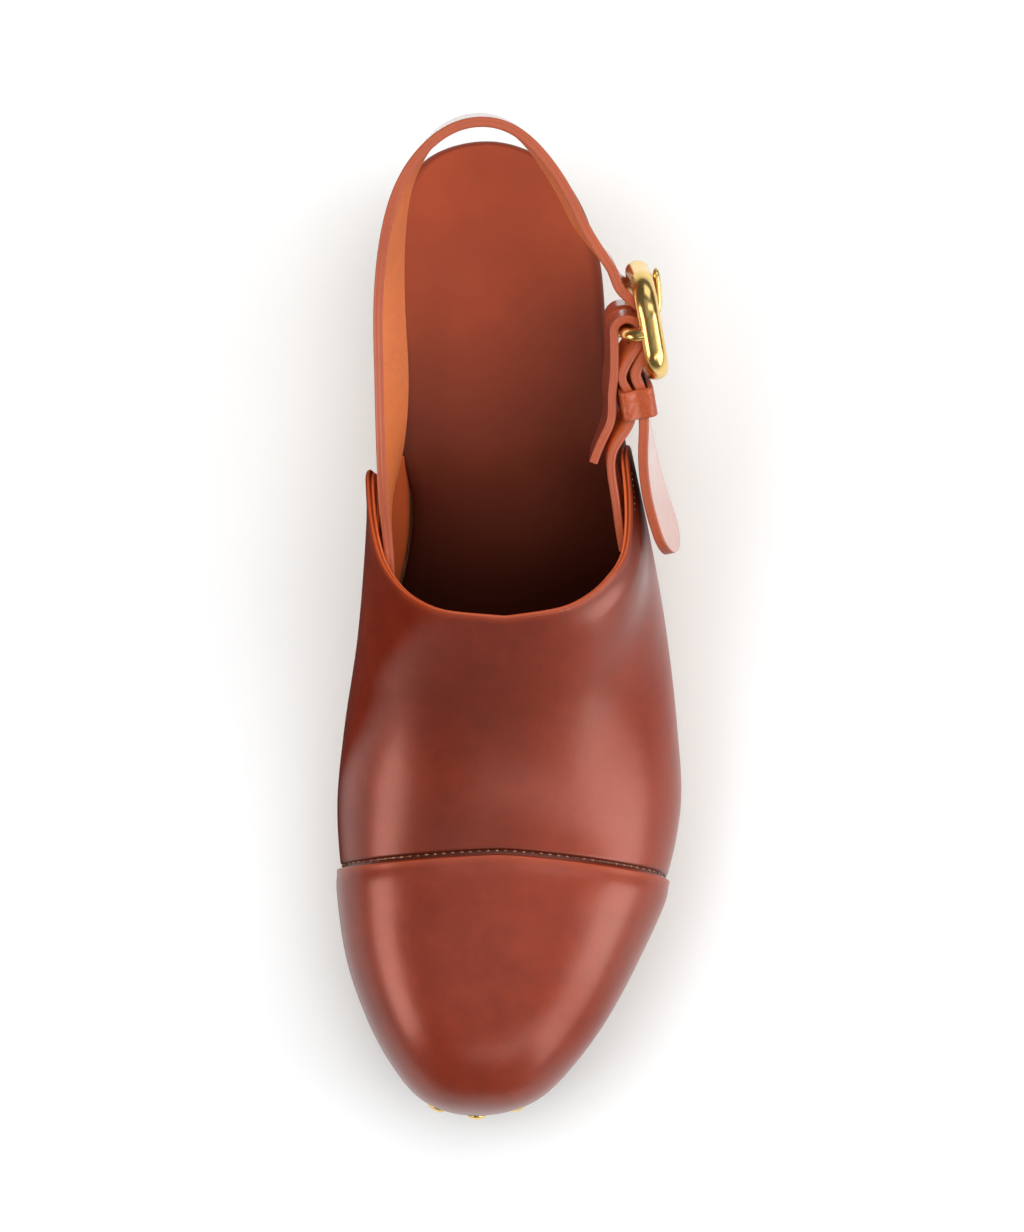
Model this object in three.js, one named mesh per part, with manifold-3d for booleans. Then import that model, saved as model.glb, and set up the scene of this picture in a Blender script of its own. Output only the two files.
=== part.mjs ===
// A wedge clog for the left foot, in millimetres, standing on its sole.
// +Z is up, the toe points to -Y, and +X is the outer side of the foot, where the buckle is.
// The origin is on the floor, in the middle of the flat that the heel stands on.
import * as THREE from "three";
import Module from "manifold-3d";

const wasm = await Module();
wasm.setup();

// Driving dimensions of the last and the sole
const shoeLength = 251.5; // back of the heel to the tip of the upper
const ballWidth = 88; // widest part of the foot shape
const heelSeat = 72; // top of the wood under the heel
const platform = 30; // top of the wood under the ball
const toeSpring = 13; // how far the tip of the sole is off the floor
const archRise = 3.5; // hollow of the sole between heel and ball
const heelBevel = 2.5; // worn-in bevel at the back of the heel
const heelRestAt = 36; // back of the heel to the middle of the heel's flat
const instepHeight = 59; // top of the upper over the sole's edge, at the throat

// Layers
const clearance = 0.3; // between pieces that meet on a curve
const upperWall = 2.2; // leather and lining
const capThickness = 1.4;
const marginDepth = 9; // strip of the upper nailed to the side of the wood
const outsoleThickness = 4;
const insoleThickness = 3;
const insoleRim = 1.1; // how far the insole's rim stands over its middle at the heel
const woodLedge = 0.4; // wood standing past the upper along its lower edge
const soleDraft = 3.2; // how far the foot of the wood is drawn in
const edgeRound = 1.2;

// Heel strap, and the buckle's own strap
const strapWidth = 16;
const strapThickness = 2.6;
const strapRise = 50; // middle of the strap over the wood, behind the heel
const holeRadius = 1.7;
const holePitch = 9;
const holeCount = 5;
const holesBehind = 2; // holes between the prong's and the heel
const buckleStrapThickness = 2.2;
const keeperLength = 7.6; // along the strap
const keeperThickness = 1.3;

// Buckle
const frameLength = 28.6; // outside, along the strap
const frameDepth = 5.8; // of the frame's section, away from the foot
const frameBand = 4.7; // of the frame's section, in the plane of the frame
const frameRoom = 0.9; // between the frame and each edge of the strap
const frameHeight = strapWidth + 2 * (frameBand + frameRoom); // outside, across the strap
const frameCorner = 9.6; // outside corner radius
const barRadius = 1.7;
const barDrop = 5.8; // centre bar below the plane of the frame, towards the foot
const prongRadius = 1.15;
const prongEyeHeight = 3.2;

// Nails
const nailRadius = 2.5;
const nailRise = 1.2;
const nailPitch = 11;
const nailDrop = 4.6; // nail's centre below the sole's top edge
const nailEndSpace = 4.5; // first nail's centre from the back edge of the upper

// Foot shape from heel to toe. at is a share of the shoe's length; medial and lateral are the edge of the
// sole, and swellMedial and swellLateral how far the upper fills out past it, as shares of the ball's width.
const outlineRows = [
  { at: 0, medial: 0.018, lateral: -0.018, swellMedial: 0.02, swellLateral: 0.02 },
  { at: 0.02, medial: 0.2, lateral: 0.156, swellMedial: 0.02, swellLateral: 0.02 },
  { at: 0.06, medial: 0.277, lateral: 0.252, swellMedial: 0.03, swellLateral: 0.03 },
  { at: 0.12, medial: 0.299, lateral: 0.314, swellMedial: 0.06, swellLateral: 0.04 },
  { at: 0.2, medial: 0.286, lateral: 0.339, swellMedial: 0.12, swellLateral: 0 },
  { at: 0.3, medial: 0.273, lateral: 0.393, swellMedial: 0.165, swellLateral: -0.01 },
  { at: 0.4, medial: 0.266, lateral: 0.447, swellMedial: 0.17, swellLateral: 0.015 },
  { at: 0.5, medial: 0.326, lateral: 0.488, swellMedial: 0.115, swellLateral: 0.054 },
  { at: 0.6, medial: 0.393, lateral: 0.523, swellMedial: 0.079, swellLateral: 0.076 },
  { at: 0.68, medial: 0.42, lateral: 0.532, swellMedial: 0.07, swellLateral: 0.081 },
  { at: 0.76, medial: 0.406, lateral: 0.492, swellMedial: 0.068, swellLateral: 0.07 },
  { at: 0.84, medial: 0.376, lateral: 0.403, swellMedial: 0.063, swellLateral: 0.062 },
  { at: 0.9, medial: 0.321, lateral: 0.314, swellMedial: 0.055, swellLateral: 0.055 },
  { at: 0.95, medial: 0.252, lateral: 0.217, swellMedial: 0.04, swellLateral: 0.04 },
  { at: 0.985, medial: 0.174, lateral: 0.121, swellMedial: 0.02, swellLateral: 0.02 },
  { at: 1, medial: 0.036, lateral: -0.036, swellMedial: 0, swellLateral: 0 },
];

// Side view. seat is the top of the wood as a share of the rise from ball to heel, arch and spring are
// shares of the arch's rise and the toe spring, bevel of the heel's bevel, rise of the instep's height,
// ridge the top line's shift to the inner side as a share of the ball's width, and square how boxy the
// section is, from 0 for a round one.
const sideRows = [
  { at: 0, seat: 1, arch: 0, spring: 0, bevel: 1, rise: 1.8, ridge: 0, square: 0.1 },
  { at: 0.03, seat: 1, arch: 0, spring: 0, bevel: 0.2, rise: 1.76, ridge: 0, square: 0.1 },
  { at: 0.06, seat: 1, arch: 0, spring: 0, bevel: 0, rise: 1.72, ridge: 0, square: 0.1 },
  { at: 0.12, seat: 0.99, arch: 0, spring: 0, bevel: 0, rise: 1.66, ridge: 0.01, square: 0.1 },
  { at: 0.22, seat: 0.93, arch: 0, spring: 0, bevel: 0, rise: 1.54, ridge: 0.03, square: 0.12 },
  { at: 0.3, seat: 0.8, arch: 0.15, spring: 0, bevel: 0, rise: 1.42, ridge: 0.045, square: 0.14 },
  { at: 0.4, seat: 0.57, arch: 0.85, spring: 0, bevel: 0, rise: 1.22, ridge: 0.06, square: 0.16 },
  { at: 0.49, seat: 0.34, arch: 0.85, spring: 0, bevel: 0, rise: 1, ridge: 0.06, square: 0.2 },
  { at: 0.58, seat: 0.14, arch: 0.15, spring: 0, bevel: 0, rise: 0.815, ridge: 0.05, square: 0.22 },
  { at: 0.62, seat: 0.08, arch: 0, spring: 0, bevel: 0, rise: 0.75, ridge: 0.045, square: 0.24 },
  { at: 0.7, seat: 0, arch: 0, spring: 0, bevel: 0, rise: 0.655, ridge: 0.035, square: 0.27 },
  { at: 0.78, seat: 0, arch: 0, spring: 0, bevel: 0, rise: 0.595, ridge: 0.025, square: 0.3 },
  { at: 0.85, seat: 0.02, arch: 0, spring: 0.12, bevel: 0, rise: 0.55, ridge: 0.015, square: 0.32 },
  { at: 0.9, seat: 0.05, arch: 0, spring: 0.32, bevel: 0, rise: 0.5, ridge: 0.01, square: 0.33 },
  { at: 0.95, seat: 0.08, arch: 0, spring: 0.62, bevel: 0, rise: 0.405, ridge: 0.005, square: 0.33 },
  { at: 0.985, seat: 0.11, arch: 0, spring: 0.9, bevel: 0, rise: 0.262, ridge: 0, square: 0.33 },
  { at: 1, seat: 0.12, arch: 0, spring: 1, bevel: 0, rise: 0, ridge: 0, square: 0.33 },
];

// Back edge of the upper and its opening: degrees up the section from the sole's edge, and the share of
// the shoe's length where the leather starts, on the inner and the outer side.
const toplineRows = [
  { up: 0, medial: 0.352, lateral: 0.328 },
  { up: 10, medial: 0.345, lateral: 0.32 },
  { up: 20, medial: 0.34, lateral: 0.315 },
  { up: 26, medial: 0.352, lateral: 0.328 },
  { up: 32, medial: 0.383, lateral: 0.362 },
  { up: 42, medial: 0.425, lateral: 0.415 },
  { up: 55, medial: 0.458, lateral: 0.45 },
  { up: 70, medial: 0.48, lateral: 0.476 },
  { up: 90, medial: 0.49, lateral: 0.49 },
];

// Seam of the toe cap, in the same way
const capRows = [
  { up: 0, medial: 0.752, lateral: 0.768 },
  { up: 45, medial: 0.742, lateral: 0.75 },
  { up: 90, medial: 0.73, lateral: 0.73 },
];

// Middle line of the heel strap behind the buckle. side is a share of the ball's width, up of the strap's
// rise, lean the degrees that the strap's top edge tips away from the foot.
const slingRows = [
  { at: 0.335, side: -0.305, up: 0.52, lean: 16 },
  { at: 0.26, side: -0.302, up: 0.68, lean: 26 },
  { at: 0.174, side: -0.312, up: 0.815, lean: 22 },
  { at: 0.108, side: -0.302, up: 0.905, lean: 15 },
  { at: 0.06, side: -0.272, up: 0.96, lean: 7 },
  { at: 0.023, side: -0.208, up: 0.99, lean: -4 },
  { at: 0.001, side: -0.13, up: 1, lean: -11 },
  { at: -0.004, side: -0.05, up: 1, lean: -13 },
  { at: 0.001, side: 0.023, up: 0.995, lean: -10 },
  { at: 0.02, side: 0.088, up: 0.985, lean: -3 },
  { at: 0.048, side: 0.15, up: 0.95, lean: 0 },
  { at: 0.079, side: 0.204, up: 0.905, lean: 2 },
  { at: 0.112, side: 0.246, up: 0.845, lean: 1 },
];
// Its tail, in front of the keeper
const tailRows = [
  { at: 0.324, side: 0.436, up: 0.475, lean: -6 },
  { at: 0.36, side: 0.46, up: 0.405, lean: -13 },
  { at: 0.384, side: 0.481, up: 0.36, lean: -14 },
  { at: 0.408, side: 0.508, up: 0.315, lean: -14 },
  { at: 0.421, side: 0.524, up: 0.29, lean: -14 },
];
const tabRound = 9; // length of the tab's round end

// Strap ends inside the upper: how far up the section they lie, in degrees
const slingAnchor = [
  { at: 0.44, up: 31 },
  { at: 0.41, up: 28.5 },
  { at: 0.377, up: 27.5 },
];
const buckleAnchor = [
  { at: 0.37, up: 26 },
  { at: 0.405, up: 27 },
];
const anchorSag = (0.5 * strapWidth ** 2) / ballWidth; // room for the wall's curve behind a flat strap

// The heel strap's way through the buckle: along is a share of the frame's length, over is 0 where the
// strap lies under the frame and 1 where it lies over the centre bar.
const throughRows = [
  { along: -0.62, over: -0.5 },
  { along: -0.42, over: -0.32 },
  { along: -0.28, over: 0.22 },
  { along: -0.12, over: 0.92 },
  { along: 0, over: 1 },
  { along: 0.12, over: 0.92 },
  { along: 0.28, over: 0.22 },
  { along: 0.42, over: -0.26 },
  { along: 0.56, over: 0 },
  { along: 0.7, over: 0 },
  { along: 0.82, over: 0 },
];
// The buckle strap's legs: out is a share of the centre bar's drop
const innerLegRows = [
  { along: 1.14, out: -2.25 },
  { along: 1.04, out: -2 },
  { along: 0.92, out: -1.6 },
  { along: 0.78, out: -1.22 },
  { along: 0.6, out: -1.16 },
  { along: 0.35, out: -0.84 },
];
const outerLegRows = [
  { along: 0.12, over: 0.88 },
  { along: 0.27, over: 0.14 },
  { along: 0.42, over: -0.32 },
  { along: 0.56, over: -0.04 },
  { along: 0.7, over: -0.02 },
  { along: 0.82, over: -0.08 },
  { along: 0.94, over: -0.8 },
  { along: 1.07, over: -1.4 },
];
const barAt = 0.2016; // middle of the centre bar: share of the shoe's length
const barSide = 0.361; // share of the ball's width
const barUp = 0.7; // share of the strap's rise
const loopRoom = 0.6; // between the centre bar and the strap folded round it
const stackRoom = 0.6; // between the two straps, where they slope
const keeperAlong = 0.675; // share of the frame's length
const buckleYaw = 11; // degrees the strap's line turns outwards at the buckle
const buckleSlope = 20; // degrees it falls towards the toe
const buckleLean = -8;

const degrees = (angle) => (angle * Math.PI) / 180;
const mix = (a, b, share) => a + (b - a) * share;
const ramp = (from, to, value) => {
  const share = Math.min(1, Math.max(0, (value - from) / (to - from)));
  return share * share * (3 - 2 * share);
};

// A smooth curve through one column of a table, over the rows' places.
function curveOf(rows, column, placeOf) {
  const places = rows.map(placeOf);
  const values = rows.map((row) => row[column]);
  const last = rows.length - 1;
  const gaps = places.slice(1).map((place, i) => place - places[i]);
  const rates = gaps.map((gap, i) => (values[i + 1] - values[i]) / gap);
  const slopes = values.map((_, i) => {
    if (i === 0) return rates[0];
    if (i === last) return rates[last - 1];
    return (gaps[i] * rates[i - 1] + gaps[i - 1] * rates[i]) / (gaps[i - 1] + gaps[i]);
  });
  return (place) => {
    const clamped = Math.min(Math.max(place, places[0]), places[last]);
    let i = 0;
    while (i < last - 1 && clamped > places[i + 1]) i += 1;
    const share = (clamped - places[i]) / gaps[i];
    const rest = 1 - share;
    return (
      values[i] * (1 + 2 * share) * rest * rest +
      values[i + 1] * (3 - 2 * share) * share * share +
      slopes[i] * gaps[i] * share * rest * rest -
      slopes[i + 1] * gaps[i] * share * share * rest
    );
  };
}

// Places along the shoe are an angle, 0 at the back of the heel and pi at the toe: both ends are round.
const turnOf = (at) => Math.acos(1 - 2 * Math.min(1, Math.max(0, at)));
const atOf = (turn) => (1 - Math.cos(turn)) / 2;
const lengthY = (at) => heelRestAt - shoeLength * at;
const outlineCurve = (column) => curveOf(outlineRows, column, (row) => turnOf(row.at));
const sideCurve = (column) => curveOf(sideRows, column, (row) => turnOf(row.at));

const outline = {
  medial: outlineCurve("medial"),
  lateral: outlineCurve("lateral"),
  swellMedial: outlineCurve("swellMedial"),
  swellLateral: outlineCurve("swellLateral"),
};
const side = {
  seat: sideCurve("seat"),
  arch: sideCurve("arch"),
  spring: sideCurve("spring"),
  bevel: sideCurve("bevel"),
  rise: sideCurve("rise"),
  ridge: sideCurve("ridge"),
  square: sideCurve("square"),
};

const seatZ = (turn) => platform + (heelSeat - platform) * side.seat(turn);
const treadZ = (turn) =>
  archRise * Math.max(0, side.arch(turn)) +
  toeSpring * Math.max(0, side.spring(turn)) +
  heelBevel * Math.max(0, side.bevel(turn));

// The sole's edge in plan. A positive turn is the outer side of the foot and a negative one the inner side.
function edgePoint(turn) {
  const wrapped = turn > Math.PI ? turn - 2 * Math.PI : turn < -Math.PI ? turn + 2 * Math.PI : turn;
  const x = wrapped >= 0 ? outline.lateral(wrapped) : -outline.medial(-wrapped);
  return new THREE.Vector2(x * ballWidth, lengthY(atOf(Math.abs(wrapped))));
}

function edgeNormal(turn) {
  const step = 0.02;
  const along = edgePoint(turn + step).sub(edgePoint(turn - step));
  return new THREE.Vector2(-along.y, along.x).normalize();
}

const edgeOffset = (turn, offset) => edgePoint(turn).addScaledVector(edgeNormal(turn), offset);

// The foot shape's surface. row runs from -1 at the lower edge of the outer margin, over the sole's edge
// at 0, over the instep to the inner side's edge at 1, and down to the lower edge of that margin at 2.
function footPoint(turn, row) {
  const inDome = Math.min(1, Math.max(0, row));
  const angle = inDome * Math.PI;
  const sine = Math.sin(angle);
  const cosine = Math.cos(angle);
  const outer = cosine >= 0;
  const lateral = outline.lateral(turn);
  const medial = -outline.medial(turn);
  const middle = (lateral + medial) / 2;
  const half = (lateral - medial) / 2;
  const swell = outer ? outline.swellLateral(turn) : outline.swellMedial(turn);
  const width = half + swell * (1 - (1 - sine) ** 3);
  const across = width * Math.abs(cosine) ** (1 - side.square(turn));
  const x = middle + (outer ? across : -across) - side.ridge(turn) * sine * sine;
  const below = Math.max(-row, row - 1, 0) * marginDepth;
  const rise = side.rise(turn) * instepHeight * sine ** (1 - side.square(turn) / 3);
  return new THREE.Vector3(x * ballWidth, lengthY(atOf(turn)), seatZ(turn) + rise - below);
}

function footNormal(turn, row) {
  const step = 0.004;
  if (row < 0 || row > 1) {
    const flat = edgeNormal(row < 0 ? turn : -turn);
    return new THREE.Vector3(flat.x, flat.y, 0);
  }
  const inTurn = Math.min(turn, Math.PI - 3 * step);
  const alongLength = footPoint(inTurn + step, row).sub(footPoint(inTurn - step, row));
  const inRow = Math.min(1 - step, Math.max(step, row));
  const alongRow = footPoint(inTurn, inRow + step).sub(footPoint(inTurn, inRow - step));
  const normal = alongRow.cross(alongLength).normalize();
  const toTip = ramp(Math.PI - 0.16, Math.PI, turn);
  return normal.lerp(new THREE.Vector3(0, -1, 0), toTip).normalize();
}

const footOffset = (turn, row, offset) =>
  footPoint(turn, row).addScaledVector(footNormal(turn, row), offset);

// Collects triangles of one closed skin, and turns it right side out.
class Skin {
  constructor() {
    this.corners = [];
  }
  triangle(a, b, c) {
    if (a.distanceTo(b) < 2e-3 || b.distanceTo(c) < 2e-3 || c.distanceTo(a) < 2e-3) return;
    this.corners.push(a, b, c);
  }
  quad(a, b, c, d) {
    if (a.distanceTo(c) <= b.distanceTo(d)) {
      this.triangle(a, b, c);
      this.triangle(a, c, d);
    } else {
      this.triangle(a, b, d);
      this.triangle(b, c, d);
    }
  }
  // A patch over a grid of points, facing the other way if turned.
  patch(grid, turned = false) {
    for (let i = 0; i + 1 < grid.length; i += 1) {
      for (let j = 0; j + 1 < grid[i].length; j += 1) {
        const [a, b, c, d] = [grid[i][j], grid[i + 1][j], grid[i + 1][j + 1], grid[i][j + 1]];
        if (turned) this.quad(a, d, c, b);
        else this.quad(a, b, c, d);
      }
    }
  }
  geometry() {
    let volume = 0;
    for (let i = 0; i < this.corners.length; i += 3) {
      const [a, b, c] = this.corners.slice(i, i + 3);
      volume += a.dot(b.clone().cross(c));
    }
    const flat = [];
    for (let i = 0; i < this.corners.length; i += 3) {
      const [a, b, c] = this.corners.slice(i, i + 3);
      const order = volume < 0 ? [a, c, b] : [a, b, c];
      for (const point of order) flat.push(point.x, point.y, point.z);
    }
    return new THREE.BufferGeometry().setAttribute(
      "position",
      new THREE.Float32BufferAttribute(flat, 3),
    );
  }
}

// Rows of a shell over the foot shape, closer together at the back corner of the upper.
const degreesUp = [0, 7, 14, 20, 26, 32, 40, 50, 60, 70, 80];
const domeRows = [
  ...degreesUp.map((up) => up / 180),
  0.5,
  ...degreesUp.map((up) => 1 - up / 180).reverse(),
];
const shellRows = [-1, -0.5, ...domeRows, 1.5, 2];

function startCurve(rows) {
  const medial = curveOf(rows, "medial", (row) => row.up);
  const lateral = curveOf(rows, "lateral", (row) => row.up);
  return (row) => {
    const up = Math.max(0, 90 - Math.abs(row - 0.5) * 180);
    return turnOf(row < 0.5 ? lateral(up) : medial(up));
  };
}

// A leather layer over the foot shape, between two offsets, from its back edge to the toe.
function shell(start, inside, outside, columns) {
  const gridAt = (offset) =>
    shellRows.map((row) => {
      const first = start(row);
      return Array.from({ length: columns + 1 }, (_, i) =>
        footOffset(mix(first, Math.PI, i / columns), row, offset),
      );
    });
  const outer = gridAt(outside);
  const inner = gridAt(inside);
  const lastRow = shellRows.length - 1;
  const skin = new Skin();
  skin.patch(outer);
  skin.patch(inner, true);
  skin.patch([outer.map((line) => line[0]), inner.map((line) => line[0])]);
  skin.patch([outer[0], inner[0]], true);
  skin.patch([outer[lastRow], inner[lastRow]]);
  return skin.geometry();
}

const upperStart = startCurve(toplineRows);
const capStart = startCurve(capRows);
const upperBack = { lateral: upperStart(0), medial: upperStart(1) };

// Stations round the sole: even turns, with a close pair at each back edge of the upper's margin.
const notchStep = 1 / shoeLength;
function soleStations(count) {
  const even = Array.from({ length: count + 1 }, (_, i) => (Math.PI * i) / count);
  const notches = [upperBack.lateral, upperBack.medial].flatMap((turn) => [
    turnOf(atOf(turn) - 1.6 * notchStep),
    turnOf(atOf(turn) - 0.5 * notchStep),
  ]);
  const kept = even.filter((turn) => notches.every((notch) => Math.abs(turn - notch) > 0.02));
  return [...kept, ...notches].sort((a, b) => a - b);
}

// A ring round the sole: from the heel along the outer side to the toe, and back along the inner side.
function soleRing(stations, offsetOf, heightOf) {
  const inner = stations.slice(1, -1).map((turn) => -turn);
  return [...stations, ...inner.reverse()].map((turn) => {
    const plan = edgeOffset(turn, offsetOf(turn));
    return new THREE.Vector3(plan.x, plan.y, heightOf(turn, plan));
  });
}

// Closes a ring with strips from its outer to its inner side, lifted by a function of place and share.
function capOf(skin, ring, across, lift, turned) {
  const toe = ring.length / 2;
  const grid = [];
  for (let i = 0; i <= toe; i += 1) {
    const outer = ring[i];
    const inner = ring[(ring.length - i) % ring.length];
    grid.push(
      Array.from({ length: across + 1 }, (_, j) => {
        const share = j / across;
        const point = outer.clone().lerp(inner, share);
        point.z += i === 0 || i === toe ? 0 : lift(point, share);
        return point;
      }),
    );
  }
  skin.patch(grid, turned);
}

// A solid from rings, lowest first, with caps at both ends.
function stack(rings, across, topLift) {
  const skin = new Skin();
  for (let i = 0; i + 1 < rings.length; i += 1) {
    const [low, high] = [rings[i], rings[i + 1]];
    skin.patch([[...low, low[0]], [...high, high[0]]]);
  }
  capOf(skin, rings[0], 1, () => 0, false);
  capOf(skin, rings[rings.length - 1], across, topLift, true);
  return skin.geometry();
}

// 1 where the upper's margin covers the side of the wood, 0 behind it.
function covered(turn) {
  const back = atOf(turn >= 0 ? upperBack.lateral : upperBack.medial);
  return ramp(back - 1.6 * notchStep, back - 0.5 * notchStep, atOf(Math.abs(turn)));
}

const capBack = { lateral: capStart(0), medial: capStart(1) };
const underCap = (turn) =>
  ramp(-0.1, -0.02, Math.abs(turn) - (turn >= 0 ? capBack.lateral : capBack.medial));
const ledgeReach = (turn) =>
  covered(turn) * (woodLedge + underCap(turn) * (capThickness + clearance));

function wedgeSole() {
  const stations = soleStations(38);
  const top = (turn) => seatZ(Math.abs(turn));
  const foot = (turn) => treadZ(Math.abs(turn)) + outsoleThickness + clearance;
  const ledge = (turn) => top(turn) - mix(3, marginDepth + clearance, covered(turn));
  const inset = (turn) => mix(0.5, upperWall + clearance, covered(turn));
  const rings = [
    soleRing(stations, () => -soleDraft - edgeRound / 2, foot),
    soleRing(stations, () => -soleDraft, (turn) => foot(turn) + edgeRound / 2),
    soleRing(stations, () => -soleDraft * 0.72, (turn) => mix(foot(turn), ledge(turn), 0.45)),
    soleRing(stations, (turn) => ledgeReach(turn), (turn) => ledge(turn) - edgeRound),
    soleRing(stations, (turn) => ledgeReach(turn) - 0.3, (turn) => ledge(turn) - 0.1),
    soleRing(stations, (turn) => -inset(turn), ledge),
    soleRing(stations, (turn) => -inset(turn), (turn) => top(turn) - edgeRound),
    soleRing(stations, (turn) => -inset(turn) - edgeRound, top),
  ];
  return stack(rings, 2, () => 0);
}

function outsole() {
  const stations = soleStations(36);
  const tread = (turn) => treadZ(Math.abs(turn));
  const rings = [
    soleRing(stations, () => -soleDraft - 1.4, tread),
    soleRing(stations, () => -soleDraft - 0.4, (turn) => tread(turn) + 1.4),
    soleRing(stations, () => -soleDraft - 0.4, (turn) => tread(turn) + outsoleThickness),
  ];
  return stack(rings, 1, () => 0);
}

// The sock's top is dished at the heel and raised a little under the arch.
function insoleLift(point, share) {
  const at = (heelRestAt - point.y) / shoeLength;
  const bowl = 4 * share * (1 - share);
  const dish = -insoleRim * bowl * (1 - ramp(0.16, 0.4, at)) * ramp(0, 0.06, at);
  const arch = 2.2 * Math.sin(Math.PI * share) * share * ramp(0.2, 0.38, at) * (1 - ramp(0.45, 0.62, at));
  return dish + arch;
}

function insole() {
  const stations = soleStations(36);
  const base = (turn) => seatZ(Math.abs(turn)) + clearance;
  const inset = (turn) => mix(0.2, upperWall + 2 * clearance, covered(turn));
  const rings = [
    soleRing(stations, (turn) => -inset(turn) - edgeRound, base),
    soleRing(stations, (turn) => -inset(turn), (turn) => base(turn) + edgeRound),
    soleRing(stations, (turn) => -inset(turn) - edgeRound, (turn) => base(turn) + insoleThickness),
  ];
  return stack(rings, 5, insoleLift);
}

// A point of a strap's line, from its shares.
const strapPlace = ({ at, side: across, up }) =>
  new THREE.Vector3(across * ballWidth, lengthY(at), heelSeat + up * strapRise);

const leftOf = (along) => new THREE.Vector3(-along.y, along.x, 0).normalize();

// Rows of a strap's line in space: each place, with the direction up the strap from its lean.
function spaceRows(rows) {
  const places = rows.map(strapPlace);
  return rows.map((row, i) => {
    const before = places[Math.max(0, i - 1)];
    const after = places[Math.min(places.length - 1, i + 1)];
    const out = leftOf(after.clone().sub(before));
    const lean = degrees(row.lean);
    const up = new THREE.Vector3(0, 0, Math.cos(lean)).addScaledVector(out, Math.sin(lean));
    return { place: places[i], up };
  });
}

// Rows of a strap's line against the inside of the upper, on its inner or outer side.
function anchorRows(rows, isMedial, thickness) {
  const depth = upperWall + clearance + anchorSag + thickness / 2;
  return rows.map(({ at, up }) => {
    const row = isMedial ? 1 - up / 180 : up / 180;
    const turn = turnOf(at);
    const step = isMedial ? -0.045 : 0.045;
    const higher = footOffset(turn, row + step, -depth);
    const lower = footOffset(turn, row - step, -depth);
    return { place: footOffset(turn, row, -depth), up: higher.sub(lower).normalize() };
  });
}

// Samples a strap's line evenly: place, direction, and the unit vectors up the band and out of it.
function strapLine(rows, steps) {
  const curve = new THREE.CatmullRomCurve3(
    rows.map((row) => row.place),
    false,
    "centripetal",
  );
  const last = rows.length - 1;
  return Array.from({ length: steps + 1 }, (_, i) => {
    const t = curve.getUtoTmapping(i / steps);
    const along = curve.getTangent(t);
    const index = Math.min(last - 1, Math.floor(t * last));
    const share = t * last - index;
    const up = rows[index].up.clone().lerp(rows[index + 1].up, share * share * (3 - 2 * share));
    up.addScaledVector(along, -up.dot(along)).normalize();
    return { place: curve.getPoint(t), along, up, out: new THREE.Vector3().crossVectors(along, up) };
  });
}

// A leather band along a line, with eased edges, and widths that may narrow to a round end.
function band(line, width, thickness, widthShareOf) {
  const ease = thickness * 0.22;
  const rings = line.map(({ place, up, out }, i) => {
    const high = (width / 2) * widthShareOf(i);
    const thick = thickness / 2;
    const section = [
      [high, thick - ease],
      [high - ease, thick],
      [ease - high, thick],
      [-high, thick - ease],
      [-high, ease - thick],
      [ease - high, -thick],
      [high - ease, -thick],
      [high, ease - thick],
    ];
    return section.map(([u, v]) => place.clone().addScaledVector(up, u).addScaledVector(out, v));
  });
  const skin = new Skin();
  skin.patch(rings.map((ring) => [...ring, ring[0]]));
  for (const [ring, turned] of [
    [rings[0], false],
    [rings[rings.length - 1], true],
  ]) {
    const across = [0, 1, 2, 3].map((k) => [ring[k], ring[7 - k]]);
    skin.patch(across, turned);
  }
  return skin.geometry();
}

// Turns a geometry into a solid for joins and cuts, and back.
function solidOf(geometry) {
  const places = geometry.getAttribute("position");
  const known = new Map();
  const vertices = [];
  const corners = [];
  const order = geometry.index ? [...geometry.index.array] : [...Array(places.count).keys()];
  for (const i of order) {
    const point = [places.getX(i), places.getY(i), places.getZ(i)];
    const key = point.map((value) => Math.round(value * 1e4)).join(" ");
    if (!known.has(key)) {
      known.set(key, vertices.length / 3);
      vertices.push(...point);
    }
    corners.push(known.get(key));
  }
  const kept = [];
  for (let i = 0; i < corners.length; i += 3) {
    const [a, b, c] = corners.slice(i, i + 3);
    if (a !== b && b !== c && c !== a) kept.push(a, b, c);
  }
  return new wasm.Manifold(
    new wasm.Mesh({
      numProp: 3,
      vertProperties: new Float32Array(vertices),
      triVerts: new Uint32Array(kept),
    }),
  );
}

function geometryOf(solid) {
  const mesh = solid.getMesh();
  const geometry = new THREE.BufferGeometry();
  geometry.setAttribute("position", new THREE.BufferAttribute(mesh.vertProperties.slice(), 3));
  geometry.setIndex(new THREE.BufferAttribute(mesh.triVerts.slice(), 1));
  return geometry;
}

// A round rod along a line of points, closed at both ends.
function rod(points, radius, sides, upright) {
  const curve = new THREE.CatmullRomCurve3(points, false, "centripetal");
  const steps = (points.length - 1) * 2;
  const rings = Array.from({ length: steps + 1 }, (_, i) => {
    const place = curve.getPoint(i / steps);
    const along = curve.getTangent(i / steps);
    const across = new THREE.Vector3().crossVectors(along, upright).normalize();
    const over = new THREE.Vector3().crossVectors(across, along);
    return Array.from({ length: sides }, (_, k) => {
      const turn = (2 * Math.PI * k) / sides;
      const point = place.clone().addScaledVector(across, radius * Math.cos(turn));
      return point.addScaledVector(over, radius * Math.sin(turn));
    });
  });
  const skin = new Skin();
  skin.patch(rings.map((ring) => [...ring, ring[0]]));
  for (const [end, turned] of [
    [0, false],
    [steps, true],
  ]) {
    const ring = rings[end];
    const half = sides / 2;
    const across = Array.from({ length: half }, (_, k) => [ring[k], ring[sides - 1 - k]]);
    skin.patch(across, turned);
  }
  return skin.geometry();
}

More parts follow.
